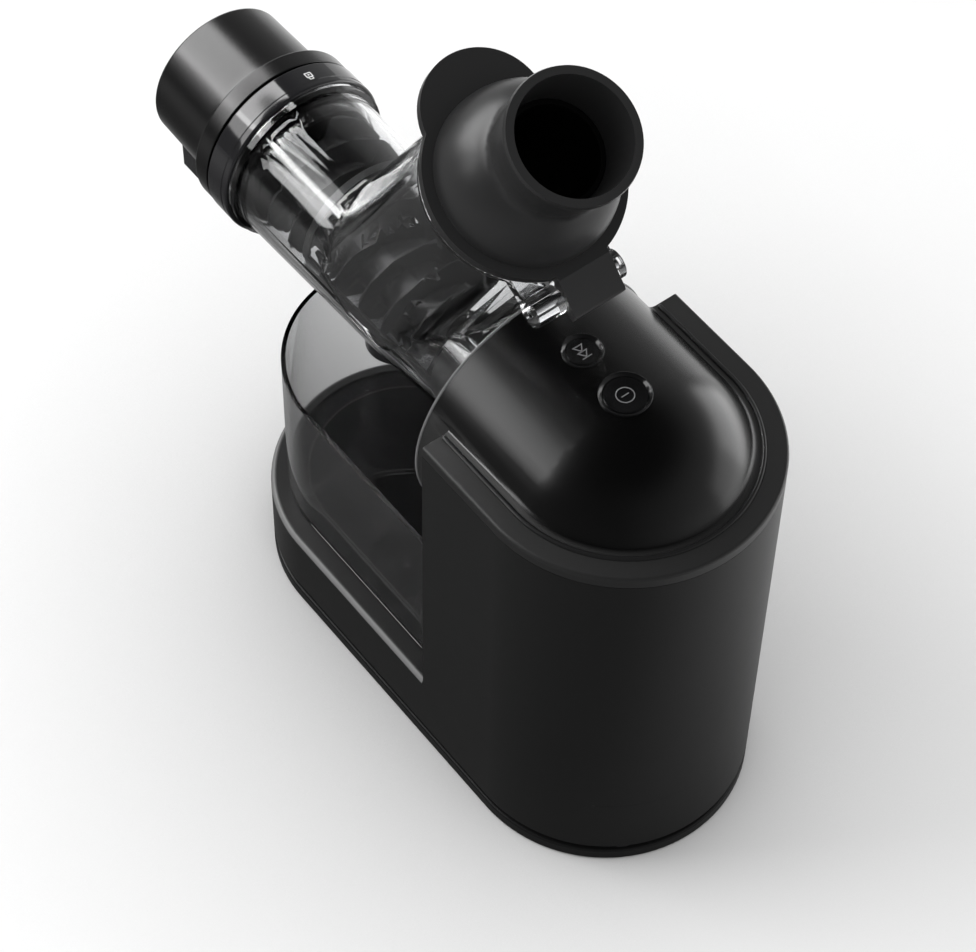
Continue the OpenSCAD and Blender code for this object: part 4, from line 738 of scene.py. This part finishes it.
lockPlace = dict(radius=45.0, degrees=-14, yMid=-128.5)
padlock = joinFlat(flatOutline(bar(-1.6, -2.2, 1.6, 0.6)[0], 0.55), bar(-0.5, -1.2, 0.5, -0.4),
                   flatOutline(bar(-1.0, 0.8, 1.0, 2.2)[0], 0.4))  # body, keyhole and shackle
markWhite = buildMaterial("markWhite", (0.75, 0.75, 0.75), 0.5, specular=0.3, grain=900, bump=0.02)
finishPiece("lockMark", *solidMark(padlock, onBarrel(**lockPlace), 0.08), "smoke_clear", "drum_unit",
            material=markWhite)

# the drum's clear plastic is a little softer than the jug's
satinOf["drum"] = buildMaterial("drumClear", (0.95, 0.955, 0.96), 0.045, specular=0.3, grain=60, bump=0.003,
                                glass=1.0, ior=1.47)

# the lid is satin; the cover is satin on its ledge and glossier on its dome
satinOf["feed_lid"] = buildMaterial("lidSatin", (0.017, 0.017, 0.0173), 0.36, specular=0.32, grain=2600,
                                    bump=0.04)
coverTone = dict(between=(0.2418, 0.2430), roughness=(0.42, 0.25), shade=(0.012, 0.001))  # ledge, then dome
coverMaterial = materials["cover_black"].copy()
coverMaterial.name = "coverTwoTone"
coverTree = coverMaterial.node_tree
coverGroup = next(n for n in coverTree.nodes if n.type == "GROUP")
coverMask = rampNode(coverTree, axesOf(coverTree)["Z"], coverTone["between"], smooth=True)
for label, span in (("Roughness", "roughness"), ("Color", "shade")):
    tone = rampNode(coverTree, coverMask, (0.0, 1.0), coverTone[span])
    coverTree.links.new(tone, coverGroup.inputs[label])
satinOf["top_cover"] = coverMaterial

# painted highlight on the deck's rounded edge: a lighter band between two heights, in front of the tower
deckPaintedLight = dict(bandFoot=(0.0474, 0.0488), bandTop=(0.05075, 0.0503), tower=(0.0682, 0.0676), edgeHighlightAmount=0.14,
                deckFrom=0.0505, deckTo=0.0511, jugY=-0.0382, jugRadius=0.0490, ring=0.0495, ringHalf=0.0005,
                shade=0.0065, paintedShadeUnderJug=-0.0055, ringShade=0.02)
deckMaterial = materials["housing_black"].copy()
deckMaterial.name = "housingPaintedLight"
deckTree = deckMaterial.node_tree
deckGroup = next(n for n in deckTree.nodes if n.type == "GROUP")
deckAxes = axesOf(deckTree)
bandParts = [rampNode(deckTree, deckAxes[axis], deckPaintedLight[span], smooth=True)
             for axis, span in (("Z", "bandFoot"), ("Z", "bandTop"), ("Y", "tower"))]
deckMath = mathIn(deckTree)
paintedEdgeHighlight = deckMath("MULTIPLY", deckMath("MULTIPLY", bandParts[0], bandParts[1]), bandParts[2])
# painted shade: under the jug the deck is darker, inside a thin painted highlight ring that follows the jug's
# outline
beyond = deckMath("MINIMUM", deckMath("SUBTRACT", deckAxes["Y"], deckPaintedLight["jugY"]), 0.0)
fromJug = flatDistance(deckTree, beyond, deckAxes["X"])
onDeck = deckMath("MULTIPLY", deckMath("GREATER_THAN", deckAxes["Z"], deckPaintedLight["deckFrom"]),
                  deckMath("LESS_THAN", deckAxes["Z"], deckPaintedLight["deckTo"]))
paintedShadeUnderJug = deckMath("MULTIPLY", onDeck, deckMath("LESS_THAN", fromJug, deckPaintedLight["jugRadius"]))
paintedRingHighlight = deckMath("MULTIPLY", onDeck, deckMath("COMPARE", fromJug, deckPaintedLight["ring"], deckPaintedLight["ringHalf"]))
dark = deckMath("MULTIPLY_ADD", paintedShadeUnderJug, deckPaintedLight["paintedShadeUnderJug"], deckPaintedLight["shade"])
lit = deckMath("MULTIPLY_ADD", paintedRingHighlight, deckPaintedLight["ringShade"], dark)
deckTree.links.new(deckMath("MULTIPLY_ADD", paintedEdgeHighlight, deckPaintedLight["edgeHighlightAmount"], lit), deckGroup.inputs["Color"])
satinOf["outer_housing"] = deckMaterial

for node in frame["nodes"]:
    if node not in made:
        softCopy(node)


view = dict(lens=119.72, sensor=36, clip=20, shift=(0.00912, 0.01216), place=(0.57243, 0.73841, 1.38205),
            back=(0.362, 0.4549, 0.8136), right=(-0.7923, 0.61, 0.0115))
camera = bpy.data.cameras.new("camera")
camera.sensor_width = view["sensor"]
camera.lens = view["lens"]
camera.clip_end = view["clip"]
camera.shift_x, camera.shift_y = view["shift"]
cameraObject = bpy.data.objects.new("camera", camera)
scene.collection.objects.link(cameraObject)
back = Vector(view["back"]).normalized()
right = Vector(view["right"])
right = (right - back * right.dot(back)).normalized()


def standing(across, rise, away, place):
    # a matrix whose columns are the three directions and the place
    return Matrix([*zip(across, rise, away, place), (0, 0, 0, 1)])


cameraObject.matrix_world = standing(right, back.cross(right), back, view["place"])
scene.camera = cameraObject
scene.view_settings.view_transform = "Standard"


def softbox(name, centre, across, away, size, power, shown="glossy"):
    away, across = Vector(away).normalized(), Vector(across)
    across = (across - away * across.dot(away)).normalized()
    lamp = bpy.data.lights.new(name, "AREA")
    lamp.shape = "RECTANGLE"
    lamp.size, lamp.size_y = size
    lamp.energy = power
    lampObject = bpy.data.objects.new(name, lamp)
    scene.collection.objects.link(lampObject)
    lampObject.matrix_world = standing(across, away.cross(across), away, centre)
    lampObject.visible_diffuse = shown == "diffuse"
    lampObject.visible_glossy = shown == "glossy"
    lampObject.visible_camera = False


# these lamps are only reflected; the key light only casts the soft shadow
mainAcross, mainAway, lowAway = (0.9, 0.166, -0.403), (0.381, -0.747, 0.545), (-1, 0.15, 0)
lamps = {
    "frontSoftbox": dict(centre=(0.26, -1.485, 1.34), across=mainAcross, away=mainAway, size=(1.72, 1.0),
                         power=54),
    "leftSoftbox": dict(centre=(1.446, -1.003, 1.17), across=mainAcross, away=mainAway, size=(1.05, 0.67),
                        power=11),
    "lowSoftbox": dict(centre=(-1.0, 0.5, 0.3), across=(0, 1, 0), away=lowAway, size=(1.4, 0.6), power=3.4),
    "lowCore": dict(centre=(-1.0, 0.15, 0.25), across=(0, 1, 0), away=lowAway, size=(0.7, 0.5), power=1.8),
    "keyLight": dict(centre=(1.3, -1.3, 1.7), across=(1, 1, 0), away=(1.3, -1.3, 1.7), size=(1.3, 1.3),
                     power=28, shown="diffuse"),
}
for name, lamp in lamps.items():
    softbox(name, **lamp)
print("lamps", len(lamps))

# in reflections the sky is light low down and dark overhead, and it fades across X
sky = dict(stops=[(0.0, 0.5), (0.2, 0.42), (0.4, 0.36), (0.6, 0.28), (0.75, 0.08), (0.85, 0.01), (1.0, 0.0)],
           soft=1.02, acrossFrom=(-0.4, 0.6), acrossTo=(1.1, 0.22))
world = bpy.data.worlds.new("world")
scene.world = world
world.use_nodes = True
worldTree = world.node_tree
background = worldTree.nodes["Background"]
background.inputs["Color"].default_value = (1, 1, 1, 1)
skyPath = worldTree.nodes.new("ShaderNodeLightPath")
skyAxes = axesOf(worldTree, "Generated")
skyRamp = worldTree.nodes.new("ShaderNodeValToRGB")
skyEnds = skyRamp.color_ramp.elements
for element, (position, shade) in zip(skyEnds, (sky["stops"][0], sky["stops"][-1])):
    element.position, element.color = position, (shade, shade, shade, 1)
for position, shade in sky["stops"][1:-1]:
    skyEnds.new(position).color = (shade, shade, shade, 1)
worldTree.links.new(skyAxes["Z"], skyRamp.inputs["Fac"])


def seenThrough(tree, path):
    # 1 for the camera's own rays, also through clear plastic, before any bounce
    bounces = mathNode(tree, "ADD", path.outputs["Diffuse Depth"], path.outputs["Glossy Depth"])
    return mathNode(tree, "LESS_THAN", bounces, 0.5)


skyMath = mathIn(worldTree)
scattered = skyMath("GREATER_THAN", skyPath.outputs["Diffuse Depth"], 0.5)
soft = skyMath("MULTIPLY", scattered, sky["soft"])
skySide = rampNode(worldTree, skyAxes["X"], sky["acrossFrom"], sky["acrossTo"])
mirror = skyMath("MULTIPLY", skyMath("SUBTRACT", 1.0, scattered),
                 skyMath("MULTIPLY", skyRamp.outputs[0], skySide))
strength = skyMath("MAXIMUM", seenThrough(worldTree, skyPath), skyMath("MAXIMUM", soft, mirror))
worldTree.links.new(strength, background.inputs["Strength"])

# pale paper; what it sends into reflections is painted darker across X, standing in for the dark part of a
# studio
paper = dict(half=6, shade=0.8, fleck=0.01, fleckScale=3, mirrorFrom=(-0.2, 0.1), mirrorTo=(1.0, 0.12),
             outFrom=(0.25, 0.6), outTo=(0.0, 0.25), glowFrom=(-0.35, -0.08), glowTo=(0.28, 0.0),
             whiteFrom=(0.6, 1.6), whiteTo=(0.03, 0.25), contact=0.35, contactShade=0.35, contactSamples=8)
half = paper["half"]
floorMesh = bpy.data.meshes.new("floor")
floorCorners, floorFaces = bar(-half, -half, half, half)
floorMesh.from_pydata([(x, y, 0) for x, y in floorCorners], [], floorFaces)
floorMaterial = bpy.data.materials.new("paper")
floorMaterial.use_nodes = True
floorTree = floorMaterial.node_tree
floorShader = floorTree.nodes["Principled BSDF"]
floorShader.inputs["Roughness"].default_value = 1
floorShader.inputs["Specular IOR Level"].default_value = 0
floorShader.inputs["Emission Color"].default_value = (1, 1, 1, 1)
floorPath = floorTree.nodes.new("ShaderNodeLightPath")
floorPlace = floorTree.nodes.new("ShaderNodeTexCoord")
floorAxes = axesOf(floorTree)
glossyRay = floorPath.outputs["Is Glossy Ray"]
# the paper turns into the white backdrop a little way off
distance = flatDistance(floorTree, floorAxes["X"], floorAxes["Y"])
paperWhite = rampNode(floorTree, distance, paper["whiteFrom"], paper["whiteTo"])
# painted reflection: in reflections the paper glows towards -X
paintedReflectionGlow = rampNode(floorTree, floorAxes["X"], paper["glowFrom"], paper["glowTo"])
floorMath = mathIn(floorTree)
floorGlow = floorMath("MULTIPLY_ADD", seenThrough(floorTree, floorPath), paperWhite,
                      floorMath("MULTIPLY", glossyRay, paintedReflectionGlow))
floorTree.links.new(floorGlow, floorShader.inputs["Emission Strength"])
floorSide = rampNode(floorTree, floorAxes["X"], paper["mirrorFrom"], paper["mirrorTo"])
floorOut = rampNode(floorTree, floorAxes["X"], paper["outFrom"], paper["outTo"])
mirrorLoss = floorMath("SUBTRACT", 1.0, floorMath("ADD", floorSide, floorOut))
mirrorPart = floorMath("MULTIPLY", glossyRay, mirrorLoss)
paperTone = noiseNode(floorTree, floorPlace.outputs["Object"], paper["fleckScale"])
paperShade = floorMath("MULTIPLY_ADD", paperTone, paper["fleck"], paper["shade"])
floorShade = floorMath("MULTIPLY", paperShade, floorMath("SUBTRACT", 1.0, mirrorPart))
# painted contact shadow: the paper is darker close to the feet
nearness = floorTree.nodes.new("ShaderNodeAmbientOcclusion")
nearness.samples = paper["contactSamples"]
nearness.inputs["Distance"].default_value = paper["contact"]
contact = floorMath("MULTIPLY_ADD", nearness.outputs["AO"], 1 - paper["contactShade"], paper["contactShade"])
floorDeep = floorMath("MULTIPLY", floorShade, contact)
floorColour = floorTree.nodes.new("ShaderNodeCombineXYZ")
for axis in range(3):
    floorTree.links.new(floorDeep, floorColour.inputs[axis])
floorTree.links.new(floorColour.outputs[0], floorShader.inputs["Base Color"])
floorMesh.materials.append(floorMaterial)
floorObject = bpy.data.objects.new("floor", floorMesh)
scene.collection.objects.link(floorObject)
